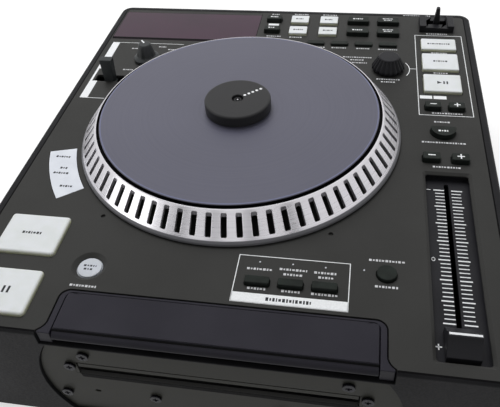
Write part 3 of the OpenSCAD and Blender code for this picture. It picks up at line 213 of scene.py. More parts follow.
def makeMaterials():
    mouldedPlastic("texturedAbs", "#18181a", "#212123", (0.42, 0.56), grain=0.9, depth=0.03, shine=0.1)
    mouldedPlastic("powderCoat", "#333332", "#383837", (0.44, 0.56), grain=0.8, patch=60, shine=0.12)
    mouldedPlastic("satinAbs", "#24232a", "#2b2a31", (0.32, 0.44), grain=1.1, depth=0.012, shine=0.14)
    mouldedPlastic("blackAbs", "#1b1b1e", "#232326", (0.36, 0.5), depth=0.015, shine=0.16)
    mouldedPlastic("softTouchKey", "#171a18", "#1f2421", (0.42, 0.55), grain=0.6, patch=6, shine=0.16)
    mouldedPlastic("mattRubber", "#121212", "#1a1a1a", (0.75, 0.9), grain=0.8, depth=0.05, patch=8)
    mouldedPlastic("frostedWindow", "#d2d6de", "#dce0e7", (0.4, 0.5), depth=0.01, patch=12, shine=0.4)
    mouldedPlastic("satinKnob", "#26292a", "#2e3132", (0.36, 0.48), depth=0.012, patch=9, shine=0.3)
    # shadowBlack is painted shade: a near-black laid in gaps, slots and hollows where shadow falls, made with
    # the moulded-plastic recipe
    mouldedPlastic("shadowBlack", "#070708", "#0b0b0c", (0.6, 0.75), shine=0.06)
    brushedMetal("anodisedPlate", "#2c2c29", "#383833", (0.38, 0.5), (30, 1, 1), metallic=0.2, shine=0.14)
    brushedMetal("blackOxideSteel", "#0b0b0d", "#2e2e34", (0.2, 0.34), (1, 1, 1), 0.8, line=0.9, depth=0.01)
    brushedMetal("zincedSteel", "#8f9194", "#a9abad", (0.3, 0.45), (1, 12, 1), line=1.2)
    brushedMetal("paintedSheet", "#1b1b1c", "#222223", (0.5, 0.65), (1, 6, 1), 0.0, line=1.5, shine=0.2)
    turned("turnedAluminium", "#d2d0d5", "#eae8ed", (0.24, 0.34), 0.8, 0.006, metallic=0.74, stretch=0.8)
    # The band's finish is painted shade: the same turned metal drawn darker and not metallic, standing in for
    # the dark surroundings it mirrors
    turned("blastedAluminium", "#747478", "#808085", (0.5, 0.62), 0.8, 0.006, shine=0.3)
    turned("pressedVinyl", "#4d4d5b", "#545462", (0.36, 0.44), 1.6, 0.004, ior=1.52, patch=70)
    # A lighter blue tone for a thin ring near the disc's edge: painted highlight along its rounded rim
    turned("vinylEdge", "#676a84", "#70738e", (0.3, 0.4), 0.9, 0.004, shine=0.3)
    turned("turnedAbs", "#313132", "#363637", (0.34, 0.46), 0.9, 0.01, ior=1.49, shine=0.14)
    # The lower tones of both key finishes are painted shade and painted glow; the eject key's greyer lower
    # tone is painted shade in its sunk dish
    milkyKey("milkyPolycarbonate", 0.3, 1.95, "#d6d8bf", "#dcdfe2")
    milkyKey("milkyEject", -2.6, -1.3, "#9da1a9", "#c2c6ce")
    smokedAcrylic()
    printedInk("whiteInk", "#e4e6e8", "#edeff1")
    printedInk("greyInk", "#bcbdc0", "#d2d3d6")
    printedInk("blackInk", "#1b1c20", "#26272b")
    feltMat()
    circuitBoard()
    print("materials:", len(materials))


def nodeBox(node):
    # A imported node's lowest and highest corners, in mm
    return [[c / mm for c in corner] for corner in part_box(node)]


def topOf(node):
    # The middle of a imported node, at the height of its top, in mm
    (x0, y0, _), (x1, y1, top) = nodeBox(node)
    return (x0 + x1) / 2, (y0 + y1) / 2, top


def sharpEdges(bm, angle):
    return [e for e in bm.edges if len(e.link_faces) == 2 and e.calc_face_angle(0) > math.radians(angle)]


def placeObject(name, bm):
    mesh = bpy.data.meshes.new(name)
    bm.to_mesh(mesh)
    bm.free()
    made = bpy.data.objects.new(name, mesh)
    scene.collection.objects.link(made)
    return made


def newPiece(name, bm, finish, body, stands=(), crease=creaseAngle):
    # Turns a bmesh into a piece in place, with its faces smooth between sharp edges
    for part in (*bm.faces, *bm.edges):
        part.smooth = True
    for edge in sharpEdges(bm, crease):
        edge.smooth = False
    piece = placeObject(name, bm)
    piece.data.materials.append(materials[finish])
    weighted = piece.modifiers.new("weighted", "WEIGHTED_NORMAL")
    weighted.keep_sharp = True
    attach(piece, body)
    if stands:
        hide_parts(*stands)
    return piece


def soften(bm, edges, width, segments=3, clamp=True):
    # Bevels edges by a width in mm
    bmesh.ops.bevel(bm, geom=list(edges), offset=width * mm, segments=segments, profile=0.5,
                    affect="EDGES", clamp_overlap=clamp, material=-1)


def push(bm, faces, vector):
    # Extrudes faces along a vector in mm; returns what that made
    made = bmesh.ops.extrude_face_region(bm, geom=list(faces))["geom"]
    moved = [g for g in made if isinstance(g, bmesh.types.BMVert)]
    bmesh.ops.translate(bm, verts=moved, vec=Vector(vector) * mm)
    return made


def softened(name, node, finish, body, width, shape):
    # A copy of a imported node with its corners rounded, as moulding and painting leave them
    bm = bmesh.new()
    bm.from_mesh(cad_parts[node].data)
    if shape:
        for vertex in bm.verts:
            vertex.co = Vector(shape(*(c / mm for c in vertex.co))) * mm
    bmesh.ops.remove_doubles(bm, verts=bm.verts, dist=0.002 * mm)
    bmesh.ops.dissolve_limit(bm, angle_limit=math.radians(0.6), verts=bm.verts, edges=bm.edges)
    soften(bm, sharpEdges(bm, 30), width, segments=2, clamp=False)
    return newPiece(name, bm, finish, body, (node,))


def block(bm, low, high):
    # A plain block between two corners, in mm
    size = Vector(high) - Vector(low)
    place = Matrix.Translation((Vector(low) + Vector(high)) / 2 * mm)
    bmesh.ops.create_cube(bm, size=1.0, matrix=place @ Matrix.Diagonal([*(size * mm), 1]))


def rod(bm, x, y, low, high, r, steps, topR=None):
    # An upright rod or cone, in mm
    place = Matrix.Translation((x * mm, y * mm, (low + high) / 2 * mm))
    bmesh.ops.create_cone(bm, cap_ends=True, segments=steps, radius1=r * mm, radius2=(topR or r) * mm,
                          depth=(high - low) * mm, matrix=place)


def lift(bm, face, height, inset=0.0):
    # Draws a face in by an inset, then extrudes it upwards; returns the lifted face
    if inset:
        bmesh.ops.inset_region(bm, faces=[face], thickness=inset * mm, use_even_offset=True)
    return next(g for g in push(bm, [face], (0, 0, height)) if isinstance(g, bmesh.types.BMFace))


def lathe(profile, centre, steps):
    # Spins a closed cross-section, given as distance from the axis and height in mm, round an upright axis
    bm = bmesh.new()
    points = [bm.verts.new(((centre[0] + r) * mm, centre[1] * mm, z * mm)) for r, z in profile]
    edges = [bm.edges.new((a, b)) for a, b in zip(points, points[1:])]
    if profile[0][0] > 0:
        edges.append(bm.edges.new((points[-1], points[0])))
    bmesh.ops.spin(bm, geom=points + edges, cent=(centre[0] * mm, centre[1] * mm, 0), axis=(0, 0, 1),
                   angle=math.tau, steps=steps, use_merge=True, use_duplicate=False)
    bmesh.ops.remove_doubles(bm, verts=bm.verts, dist=0.001 * mm)
    bmesh.ops.recalc_face_normals(bm, faces=bm.faces)
    return bm


def rounded(corners, radii, steps=4):
    # Rounds the inner corners of a line of points, each by its own radius
    made = []
    for i, (corner, r) in enumerate(zip(corners, radii)):
        if r == 0 or i in (0, len(corners) - 1):
            made.append(corner)
            continue
        here = Vector(corner)
        before, after = Vector(corners[i - 1]) - here, Vector(corners[i + 1]) - here
        start, end = here + before.normalized() * r, here + after.normalized() * r
        for k in range(steps + 1):
            t = k / steps
            made.append(tuple(start * (1 - t) ** 2 + here * 2 * t * (1 - t) + end * t ** 2))
    return made


def arc(x, y, r, start, end, steps):
    # Points along a round corner, with its angles in degrees
    turns = [math.radians(start + (end - start) * k / steps) for k in range(steps + 1)]
    return [(x + r * math.cos(a), y + r * math.sin(a)) for a in turns]


keyForm = {"lip": 1.2, "lipLow": panelTop - 3.15, "lipTop": panelTop - 2.15, "plunger": 1.6, "edge": 0.5}


def addPlunger(bm, x, y, foot):
    rod(bm, x, y, foot, (keyForm["lipLow"] + keyForm["lipTop"]) / 2, keyForm["plunger"], 24)


def squareKey(node, corner, edge):
    # Lip, cap with rounded corners and a softened top edge, and plunger
    (x0, y0, foot), (x1, y1, top) = nodeBox(node)
    bm = bmesh.new()
    block(bm, (x0, y0, keyForm["lipLow"]), (x1, y1, keyForm["lipTop"]))
    upright = [e for e in bm.edges if abs(e.verts[0].co.z - e.verts[1].co.z) > 0.1 * mm]
    soften(bm, upright, corner + keyForm["lip"], segments=6)
    highest = max(bm.faces, key=lambda face: face.calc_center_median().z)
    soften(bm, lift(bm, highest, top - keyForm["lipTop"], keyForm["lip"]).edges, edge)
    addPlunger(bm, (x0 + x1) / 2, (y0 + y1) / 2, foot)
    return bm


def tapKey(node):
    # Straight far edge and round near edge
    (x0, y0, foot), (x1, y1, top) = nodeBox(node)
    r = (x1 - x0) / 2
    x, y = (x0 + x1) / 2, y0 + r
    bm = bmesh.new()
    place = Matrix.Translation((x * mm, y * mm, keyForm["lipLow"] * mm))
    bmesh.ops.create_circle(bm, cap_ends=True, radius=r * mm, segments=48, matrix=place)
    far = bmesh.ops.bisect_plane(bm, geom=[*bm.verts, *bm.edges, *bm.faces], plane_co=(0, y * mm, 0),
                                 plane_no=(0, 1, 0), clear_outer=True)
    chord = [e for e in far["geom_cut"] if isinstance(e, bmesh.types.BMEdge)]
    drawn = bmesh.ops.extrude_edge_only(bm, edges=chord)
    moved = [g for g in drawn["geom"] if isinstance(g, bmesh.types.BMVert)]
    bmesh.ops.translate(bm, verts=moved, vec=(0, (y1 - y) * mm, 0))
    bmesh.ops.dissolve_faces(bm, faces=list(bm.faces))
    bmesh.ops.recalc_face_normals(bm, faces=bm.faces)
    bm.faces.ensure_lookup_table()
    lipFace = lift(bm, bm.faces[0], keyForm["lipTop"] - keyForm["lipLow"])
    soften(bm, lift(bm, lipFace, top - keyForm["lipTop"], keyForm["lip"]).edges, keyForm["edge"])
    bmesh.ops.recalc_face_normals(bm, faces=bm.faces)
    addPlunger(bm, x, y, foot)
    return bm


def roundKey(node):
    (x0, y0, foot), (x1, y1, top) = nodeBox(node)
    wide = (x1 - x0) / 2
    r, low, high = wide - keyForm["lip"], keyForm["lipLow"], keyForm["lipTop"]
    profile = rounded([(0, foot), (keyForm["plunger"], foot), (keyForm["plunger"], low), (wide, low),
                       (wide, high), (r, high), (r, top), (0, top)], [0, 0, 0, 0, 0, 0, 0.6, 0])
    return lathe(profile, ((x0 + x1) / 2, (y0 + y1) / 2), 64)


def bar(bm, x, y, w, h, z, thick=inkThick, turn=0.0):
    # One flat printed bar, centred on x and y, with its underside at z
    place = Matrix.Translation(Vector((x, y, z + thick / 2)) * mm) @ Matrix.Rotation(turn, 4, "Z")
    bmesh.ops.create_cube(bm, size=1.0, matrix=place @ Matrix.Diagonal((w * mm, h * mm, thick * mm, 1)))


def outline(bm, x0, y0, x1, y1, line, z):
    for y in (y0, y1):
        bar(bm, (x0 + x1) / 2, y, x1 - x0 + line, line, z)
    for x in (x0, x1):
        bar(bm, x, (y0 + y1) / 2, line, y1 - y0 - line, z)


def dashes(bm, x, y, w, z, h=1.3):
    # A row of short plain strokes where a label would be
    strokes, gap = (1.3, 0.8, 1.1, 0.6, 1.2), 0.55
    at, i = x - w / 2, 0
    while at < x + w / 2 - 0.5:
        wide = min(strokes[i % 5], x + w / 2 - at)
        bar(bm, at + wide / 2, y, wide, h * (0.75 if i % 3 == 1 else 1), z)
        at += wide + gap
        i += 1


def arcLine(bm, x, y, r, line, start, end, z, steps=24):
    # A curved printed line, spun from its cross-section
    low, high = z * mm, (z + inkThick) * mm
    section = ((-1, low), (1, low), (1, high), (-1, high))
    corners = [bm.verts.new(((x + r + s * line / 2) * mm, y * mm, h)) for s, h in section]
    face = bm.faces.new(corners)
    whole = abs(end - start) >= 360
    centre = (x * mm, y * mm, 0)
    bmesh.ops.rotate(bm, verts=corners, cent=centre, matrix=Matrix.Rotation(math.radians(start), 3, "Z"))
    bmesh.ops.spin(bm, geom=[face, *face.edges, *corners], cent=centre, axis=(0, 0, 1), use_merge=whole,
                   angle=math.radians(end - start), steps=steps, use_duplicate=False)
    if whole:
        bm.faces.remove(face)


def wedge(bm, x, y, r, z, turn):
    # A flat triangle, pointing along its turn
    place = Matrix.Translation(Vector((x, y, z)) * mm) @ Matrix.Rotation(turn, 4, "Z")
    made = bmesh.ops.create_circle(bm, cap_ends=True, radius=r * mm, segments=3, matrix=place)
    push(bm, {f for v in made["verts"] for f in v.link_faces}, (0, 0, inkThick))


def slotCutter(ring):
    # A ring of upright plugs, each with the outline of one slot
    foot, tall = 80, 20
    half = ring["slotWide"] / 2 - ring["slotCorner"]
    near, far = ring["slotFrom"] + ring["slotCorner"], ring["slotTo"] - ring["slotCorner"]
    corners = ((far, half, 0), (near, half, 90), (near, -half, 180), (far, -half, 270))
    rim = [point for x, y, start in corners for point in arc(x, y, ring["slotCorner"], start, start + 90, 3)]
    bm = bmesh.new()
    face = bm.faces.new([bm.verts.new(Vector((x, y, foot)) * mm) for x, y in rim])
    push(bm, [face], (0, 0, tall))
    bmesh.ops.recalc_face_normals(bm, faces=bm.faces)
    bmesh.ops.spin(bm, geom=[*bm.faces, *bm.edges, *bm.verts], cent=(0, 0, 0), axis=(0, 0, 1),
                   angle=math.tau * (1 - 1 / ring["slots"]), steps=ring["slots"] - 1, use_duplicate=True)
    bmesh.ops.translate(bm, verts=bm.verts, vec=Vector((*platterAxis, 0)) * mm)
    return bm


def cutSlots(solid, ring):
    # Cuts the slots through the cone and softens their outer rims
    body, tool = placeObject("ringBlank", solid), placeObject("slotCutter", slotCutter(ring))
    slots = body.modifiers.new("slots", "BOOLEAN")
    slots.operation, slots.solver, slots.object = "DIFFERENCE", "EXACT", tool
    result = body.evaluated_get(bpy.context.evaluated_depsgraph_get())
    bm = bmesh.new()
    bm.from_mesh(bpy.data.meshes.new_from_object(result))
    for used in (body, tool):
        bpy.data.objects.remove(used)
    bmesh.ops.remove_doubles(bm, verts=bm.verts, dist=0.003 * mm)
    bm.normal_update()
    cone = [f for f in bm.faces if 0.5 < f.normal.z < 0.75]  # the slope, by its tilt
    rims = dict.fromkeys(e for f in cone for e in f.edges
                         if len(e.link_faces) == 2 and any(abs(g.normal.z) < 0.05 for g in e.link_faces))
    soften(bm, rims, ring["edge"], segments=2, clamp=False)
    return bm


def buildPlatter():
    ring = {"outer": 95.7, "low": 82.6, "coneFoot": (94.6, 85.2), "coneTop": (84.6, 97.7), "inner": 84.0,
            "deck": 96.0, "under": 95.0, "boss": 12, "slots": 72, "slotFrom": 85.6, "slotTo": 93.3,
            "slotWide": 3.1, "slotCorner": 0.6, "edge": 0.25}
    spindle = {"radius": 3, "foot": 71.0, "collar": 82.8, "shoulder": 103.6, "top": 104.4, "seat": 104.45}
    inner, deck, shaft, boss = ring["inner"], ring["deck"], spindle["radius"], ring["boss"]
    profile = rounded(
        [(0, spindle["foot"]), (shaft, spindle["foot"]), (shaft, spindle["collar"]),
         (boss, spindle["collar"]), (boss, ring["under"]), (84.6, ring["under"]), (93.0, 83.9),
         (94.0, 83.6), (94.4, 84.9), ring["coneFoot"], ring["coneTop"], (inner, ring["coneTop"][1]),
         (inner, deck), (shaft, deck), (shaft, spindle["shoulder"]), (2, spindle["top"]),
         (0, spindle["top"])],
        [0, 0, 0, 0, 0, 0, 0, 0, 0, 0.3, 0.4, 0.15, 0, 0, 0, 0, 0])
    bm = cutSlots(lathe(profile, platterAxis, 288), ring)
    body = newPiece("platterRing", bm, "turnedAluminium", "platter", ("platter",))
    # The outer band takes the darker finish, painted shade for the dark surroundings it mirrors
    band = rounded([(93.4, ring["low"]), (ring["outer"], ring["low"]), (ring["outer"], 83.9), (94.7, 85.25),
                    (93.4, 85.25)], [0, 0.3, 0.6, 0.15, 0])
    # A black ring on the deck and up the inner wall: painted shade in the gap under the disc
    gapShade = [(76, deck + 0.02), (76, deck + 0.12), (inner - 0.25, deck + 0.12), (inner - 0.25, 97.45),
              (inner - 0.02, 97.45), (inner - 0.02, deck + 0.02)]
    foot, seat = spindle["shoulder"], spindle["seat"]
    tip = rounded([(0, foot), (2.95, foot), (2.95, 104.5), (0, 104.5)], [0, 0, 0.4, 0])
    circle = [(1.45, seat), (2.15, seat), (2.1, 104.56), (1.5, 104.56)]
    dot = [(0, seat), (0.5, seat), (0.4, 104.6), (0, 104.6)]
    for name, shape, steps, finish, slot in (
            ("platterBand", band, 288, "blastedAluminium", "aluminium"),
            ("platterLining", gapShade, 192, "shadowBlack", "black_plastic"),
            # The black spindle tip is painted shade, standing in for the dark of the hub's centre hole
            ("spindleTip", tip, 48, "shadowBlack", "black_plastic"),
            ("spindleRing", circle, 48, "turnedAbs", "black_plastic"),
            ("spindleDot", dot, 24, "turnedAluminium", "aluminium")):
        newPiece(name, lathe(shape, platterAxis, steps), finish, "platter")
    print("platter:", len(body.data.polygons), "faces")


def buildRecord():
    disc = {"radius": 82.2, "low": 97.0, "face": 98.2, "top": 98.7, "hole": 8.2, "rim": (81.1, 81.8)}
    hole, face = disc["hole"], disc["face"]
    profile = rounded([(hole, face), (disc["radius"], face), (disc["radius"], disc["top"]),
                       (hole, disc["top"])], [0, 0, 0.35, 0])
    newPiece("scratchDisc", lathe(profile, platterAxis, 256), "pressedVinyl", "record",
             ("scratch_disc",))
    core = disc["radius"] - 0.1
    profile = [(hole, disc["low"]), (core, disc["low"]), (core, face + 0.02), (hole, face + 0.02)]
    newPiece("discCore", lathe(profile, platterAxis, 256), "shadowBlack", "record")
    # A thin lighter ring near the disc's edge: painted highlight along its rounded rim
    low, high = disc["top"] - inkThick, disc["top"] + inkThick / 2
    profile = [(disc["rim"][0], low), (disc["rim"][1], low), (disc["rim"][1], high), (disc["rim"][0], high)]
    newPiece("discRim", lathe(profile, platterAxis, 192), "vinylEdge", "record")
    hub = {"radius": 19.5, "low": 98.7, "top": 105.54, "dish": 3.4}
    profile = rounded([
        (3.1, 97.1), (8, 97.1), (8, hub["low"]), (hub["radius"] - 0.4, hub["low"]), (hub["radius"], 99.4),
        (hub["radius"], hub["top"]), (hub["dish"], hub["top"]), (hub["dish"], 103.4), (3.1, 103.4)],
        [0, 0, 0, 0.3, 0.2, 1.4, 0.4, 0, 0], 5)
    newPiece("hubCap", lathe(profile, platterAxis, 128), "turnedAbs", "record", ("hub_cap",))
    dots = {"count": 5, "near": 5.0, "far": 16.0, "turn": math.radians(40.3), "size": 0.85}
    bm = bmesh.new()
    for i in range(dots["count"]):
        away = dots["near"] + (dots["far"] - dots["near"]) * i / (dots["count"] - 1)
        x, y = platterAxis[0] + away * math.cos(dots["turn"]), platterAxis[1] + away * math.sin(dots["turn"])
        rod(bm, x, y, hub["top"] - 0.04, hub["top"] + 0.06, dots["size"], 20)
    newPiece("hubDots", bm, "whiteInk", "record")
    print("record: disc, hub and dots")


def between(value, low, high):
    return max(low, min(high, value))


def narrowInsert(x, y, z):
    # The block stands inside its surround
    half, back = 73.0, -134.7
    return between(x, -half, half), min(y, back), z


def lowCheeks(x, y, z):
    foot, lower = 85.4, 0.55
    return x, y, z if z < foot else foot + (z - foot) * lower


def taperSlider(x, y, z):
    # Narrow at its foot and nearly full at its top
    middle, height, foot, gain = -112.2, 15.5, 0.68, 0.22
    return middle + (x - middle) * (foot + gain * between((z - panelTop) / height, 0.0, 1.0)), y, z


def taperVolume(x, y, z):
    # The grip narrows towards its top
    across, along, skirt, height, loss = -93.3, 72.4, 85.0, 9.6, 0.22
    narrower = 1 - loss * between((z - skirt) / height, 0.0, 1.0)
    return across + (x - across) * narrower, along + (y - along) * narrower, z


def encoderGrip():
    # A cone with grooves pressed into its side, deepest at the skirt
    grip = {"shaft": 3.0, "lift": 1.5, "foot": 1.3, "shoulder": 6.9, "top": 6.2, "flutes": 20, "depth": 0.95}
    (x0, y0, base), (x1, y1, top) = nodeBox("encoder_knob")
    x, y, r, low = (x0 + x1) / 2, (y0 + y1) / 2, (x1 - x0) / 2, panelTop + grip["lift"]
    profile = rounded(
        [(0, base), (grip["shaft"], base), (grip["shaft"], low), (r, low), (r, low + grip["foot"]),
         (grip["shoulder"], top - 0.5), (grip["top"], top), (0, top)],
        [0, 0, 0, 0.25, 0.7, 0.4, 0.3, 0])
    bm = lathe(profile, (x, y), grip["flutes"] * 8)
    for vertex in bm.verts:
        away = Vector((vertex.co.x / mm - x, vertex.co.y / mm - y))
        if away.length > grip["shoulder"] + 0.05:
            wave = 0.5 + 0.5 * math.cos(grip["flutes"] * math.atan2(away.y, away.x))
            shorter = away * (1 - grip["depth"] * wave ** 1.5 / away.length)
            vertex.co.x, vertex.co.y = (x + shorter.x) * mm, (y + shorter.y) * mm
    newPiece("encoderKnob", bm, "blackAbs", "encoder_turn", ("encoder_knob",), 50)


def buildSurround():
    # Frame between the panel and the raised block, flared where it meets the front edge
    surround = {"top": 81.65, "deep": 7.45, "front": -157.9, "edge": 0.35}
    crease = {"y": -155.6, "wide": 145.8, "line": 0.7, "z": 80.6, "tall": 1.0}
    flare = arc(82.7, -150.9, 6.5, 180, 241, 8)
    side = [(73.3, -150.9 - 0.6 * k) for k in range(9)]  # as many points as the flare opposite
    outer = arc(71.2, -138.1, 5.0, 90, 0, 8) + flare + [(79.55, surround["front"])]
    inner = arc(70.2, -137.5, 3.1, 90, 0, 8) + side + [(73.3, surround["front"])]
    bm = bmesh.new()
    rows = []
    for line in (outer, inner):
        points = [(x, y) for x, y in line[::-1]] + [(-x, y) for x, y in line]
        rows.append([bm.verts.new(Vector((x, y, surround["top"])) * mm) for x, y in points])
    for i in range(len(rows[0]) - 1):
        bm.faces.new((rows[0][i], rows[0][i + 1], rows[1][i + 1], rows[1][i]))
    bmesh.ops.recalc_face_normals(bm, faces=bm.faces)
    push(bm, bm.faces, (0, 0, -surround["deep"]))
    bmesh.ops.recalc_face_normals(bm, faces=bm.faces)
    soften(bm, sharpEdges(bm, 40), surround["edge"])
    newPiece("insertSurround", bm, "satinAbs", "chassis")
    # A black bar along the crease of the block's nose: painted shade in that crease
    bm = bmesh.new()
    bar(bm, 0, crease["y"], crease["wide"], crease["line"], crease["z"], crease["tall"])
    newPiece("insertCrease", bm, "shadowBlack", "chassis")


# Mouth of the disc slot
mouth = {"middle": 53.0, "half": 66.2, "end": 68.7, "endTall": 9.2, "gap": 0.7, "face": -157.42,
         "soft": 0.15, "paint": 0.05}


def shadeSlot():
    # Painted shade: a black layer on the sloping mouth of the disc slot, standing in for the shadow inside it
    outer, inner = ((68.45, 4.65, -157.46), (65.05, 2.45, -155.86))
    around = ((-1, -1), (1, -1), (1, 1), (-1, 1))
    bm = bmesh.new()
    rows = [[bm.verts.new(Vector((sx * x, y, mouth["middle"] + sz * z)) * mm) for sx, sz in around]
            for x, z, y in (outer, inner)]
    for i in range(4):
        after = (i + 1) % 4
        bm.faces.new((rows[0][i], rows[0][after], rows[1][after], rows[1][i]))
    bmesh.ops.recalc_face_normals(bm, faces=bm.faces)
    push(bm, bm.faces, (0, mouth["paint"], 0))
    bmesh.ops.recalc_face_normals(bm, faces=bm.faces)
    newPiece("slotLining", bm, "shadowBlack", "chassis")


def frameSlot():
    # Brow, lip and blunt ends of the slot's mouth; strips are drawn along it from y and z of their sections
    face, half = mouth["face"], mouth["half"]
    strips = (
        ("slotBrow", "anodisedPlate", "slot_plate",
         [(-156.5, 54.4), (face, 54.4), (face, 57.3), (-156.5, 57.3)]),
        ("slotLip", "powderCoat", "slot_plate",
         [(-156.5, 50.55), (-158.05, 49.85), (-158.05, 49.5), (-156.5, 49.5)]),
        # The black strip under the lip is painted shade, standing in for the shadow there
        ("slotApron", "shadowBlack", "black_plastic",
         [(-157.0, 49.52), (-158.1, 49.52), (-158.05, 48.9), (face, 45.2), (-157.0, 45.2)]))
    for name, finish, slot, section in strips:
        bm = bmesh.new()
        end = bm.faces.new([bm.verts.new(Vector((-half, y, z)) * mm) for y, z in section])
        push(bm, [end], (2 * half, 0, 0))
        bmesh.ops.recalc_face_normals(bm, faces=bm.faces)
        soften(bm, bm.edges, mouth["soft"], segments=2)
        newPiece(name, bm, finish, "chassis")
    bm = bmesh.new()
    for side in (-1, 1):
        near, far = sorted((side * (half + mouth["gap"]), side * mouth["end"]))
        low, high = (mouth["middle"] + way * mouth["endTall"] / 2 for way in (-1, 1))
        block(bm, (near, face, low), (far, -156.4, high))
    soften(bm, bm.edges, mouth["soft"], segments=2)
    newPiece("slotEnds", bm, "anodisedPlate", "chassis")


def sleeveSockets():
    # Plated sleeves of the phono sockets and the ring of the small jack, lathed and laid along y
    sockets = {"z": 34.0, "wall": 151.82, "phono": (0.0, 20.0, 40.0), "jack": 60.0}
    sleeve = rounded([(4.05, 0), (4.22, 0), (4.22, 7.1), (4.05, 7.1)], [0, 0, 0.08, 0])
    rings = [("phonoSleeve" + str(i + 1), x, sleeve) for i, x in enumerate(sockets["phono"])]
    rings.append(("jackRing", sockets["jack"], [(2.1, 0), (3.4, 0), (3.1, 0.5), (2.1, 0.5)]))
    for name, x, profile in rings:
        bm = lathe(profile, (0, 0), 48)
        bmesh.ops.rotate(bm, verts=bm.verts, cent=(0, 0, 0), matrix=Matrix.Rotation(-math.pi / 2, 3, "X"))
        bmesh.ops.translate(bm, verts=bm.verts, vec=Vector((x, sockets["wall"], sockets["z"])) * mm)
        newPiece(name, bm, "zincedSteel", "chassis")


def buildCase():
    pieces = (
        ("caseShell", "case_shell", "texturedAbs", "case", 0.3, None),
        ("controlPanel", "top_panel", "powderCoat", "panel", 0.22, None),
        ("frontInsert", "front_insert", "satinAbs", "insert", 0.35, narrowInsert),
        ("slotPlate", "slot_plate", "anodisedPlate", "slot_plate", 0.25, None),
        ("faderTray", "fader_tray", "blackAbs", "black_plastic", 0.2, None),
        ("displayWindow", "display_window", "smokedAcrylic", "smoked", 0.15, None),
        ("arcWindow", "arc_window", "frostedWindow", "pale_window", 0.15, None),
        ("toggleBezel", "toggle_bezel", "blackAbs", "black_plastic", 0.4, lowCheeks),
        ("rearSockets", "rear_sockets", "blackAbs", "black_plastic", 0.2, None),
        ("mainsInlet", "mains_inlet", "blackAbs", "black_plastic", 0.3, None),
        ("plateScrews", "screws", "blackOxideSteel", "black_steel", 0.25, None),
        ("rubberFeet", "feet", "mattRubber", "rubber", 0.5, None))
    for name, node, finish, slot, width, shape in pieces:
        softened(name, node, finish, "chassis", width, shape)
    buildSurround()
    shadeSlot()
    frameSlot()
    sleeveSockets()
    print("case:", len(pieces), "softened pieces")


def nameOf(node):
    first, *others = node.split("_")
    return first + "".join(word.capitalize() for word in others)


def buildKeys():
    # Corner and top edge of the wide cue and play keys, the track keys, the bend keys and all others
    forms = {"wide": (1.9, 1.5), "track": (1.0, 0.9), "bend": (1.0, keyForm["edge"]),
             "other": (0.8, keyForm["edge"])}
    pale = ("eject", "cue", "play", "track_mode", "track_cue", "track_play", "loop_in_one", "loop_in_two",
            "loop_out_one", "loop_out_two")
    keys = sorted(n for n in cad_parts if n.endswith("_key"))
    for node in keys:
        if node in ("eject_key", "range_key"):
            bm = roundKey(node)
        elif node == "tap_key":
            bm = tapKey(node)
        else:
            kind = ("wide" if node in ("cue_key", "play_key") else "bend" if "bend" in node
                    else "track" if node.startswith("track") else "other")
            bm = squareKey(node, *forms[kind])
        isPale = node[:-len("_key")] in pale
        finish = "milkyEject" if node == "eject_key" else "milkyPolycarbonate" if isPale else "softTouchKey"
        newPiece(nameOf(node), bm, finish, node, (node,))
    return len(keys)


def buildControls():
    pieces = (
        ("faderCap", "pitch_fader", "blackAbs", 0.35, None),
        ("sourceSlider", "source_slider", "satinKnob", 0.5, taperSlider),
        ("volumeKnob", "volume_knob", "satinKnob", 0.3, taperVolume),
        ("toggleLever", "toggle_lever", "blackAbs", 0.6, None),
        ("powerRocker", "power_rocker", "blackAbs", 0.4, None))
    for name, node, finish, width, shape in pieces:
        softened(name, node, finish, node, width, shape)
    encoderGrip()
    keys = buildKeys()
    print("controls:", len(pieces) + 1 + keys, "pieces")


def printFrames():
    # White outlines, bars and lines between the controls
    bars = (
        (92.4, 73.0, 4.6, 0.45), (99.5, 40.6, 7.6, 3.4), (108.1, 40.6, 7.9, 3.4),
        (-123.3, 76.2, 5.4, 36.2),  # this and the next two stand beside the source slider
        (-125.2, 50.4, 1.6, 15.4), (-123.3, 32.8, 5.4, 19.8), (-98.7, 94.4, 54.4, 0.4),
        (-117.4, 22.6, 17.2, 0.4), (31.7, -127.7, 53.9, 5.4), (-9.2, 127.7, 7.9, 3.2))
    bm = bmesh.new()
    outline(bm, 94.75, 21.6, 126.8, 118.0, 0.45, panelTop)  # round the track keys
    outline(bm, 4.75, -130.4, 58.65, -102.3, 0.4, panelTop)  # round the platter keys
    arcLine(bm, 75.7, 72.0, 14.3, 0.5, -31, 34, panelTop)  # beside the encoder
    for x, y, w, h in bars:
        bar(bm, x, y, w, h, panelTop)
    newPiece("panelPrint", bm, "whiteInk", "chassis")


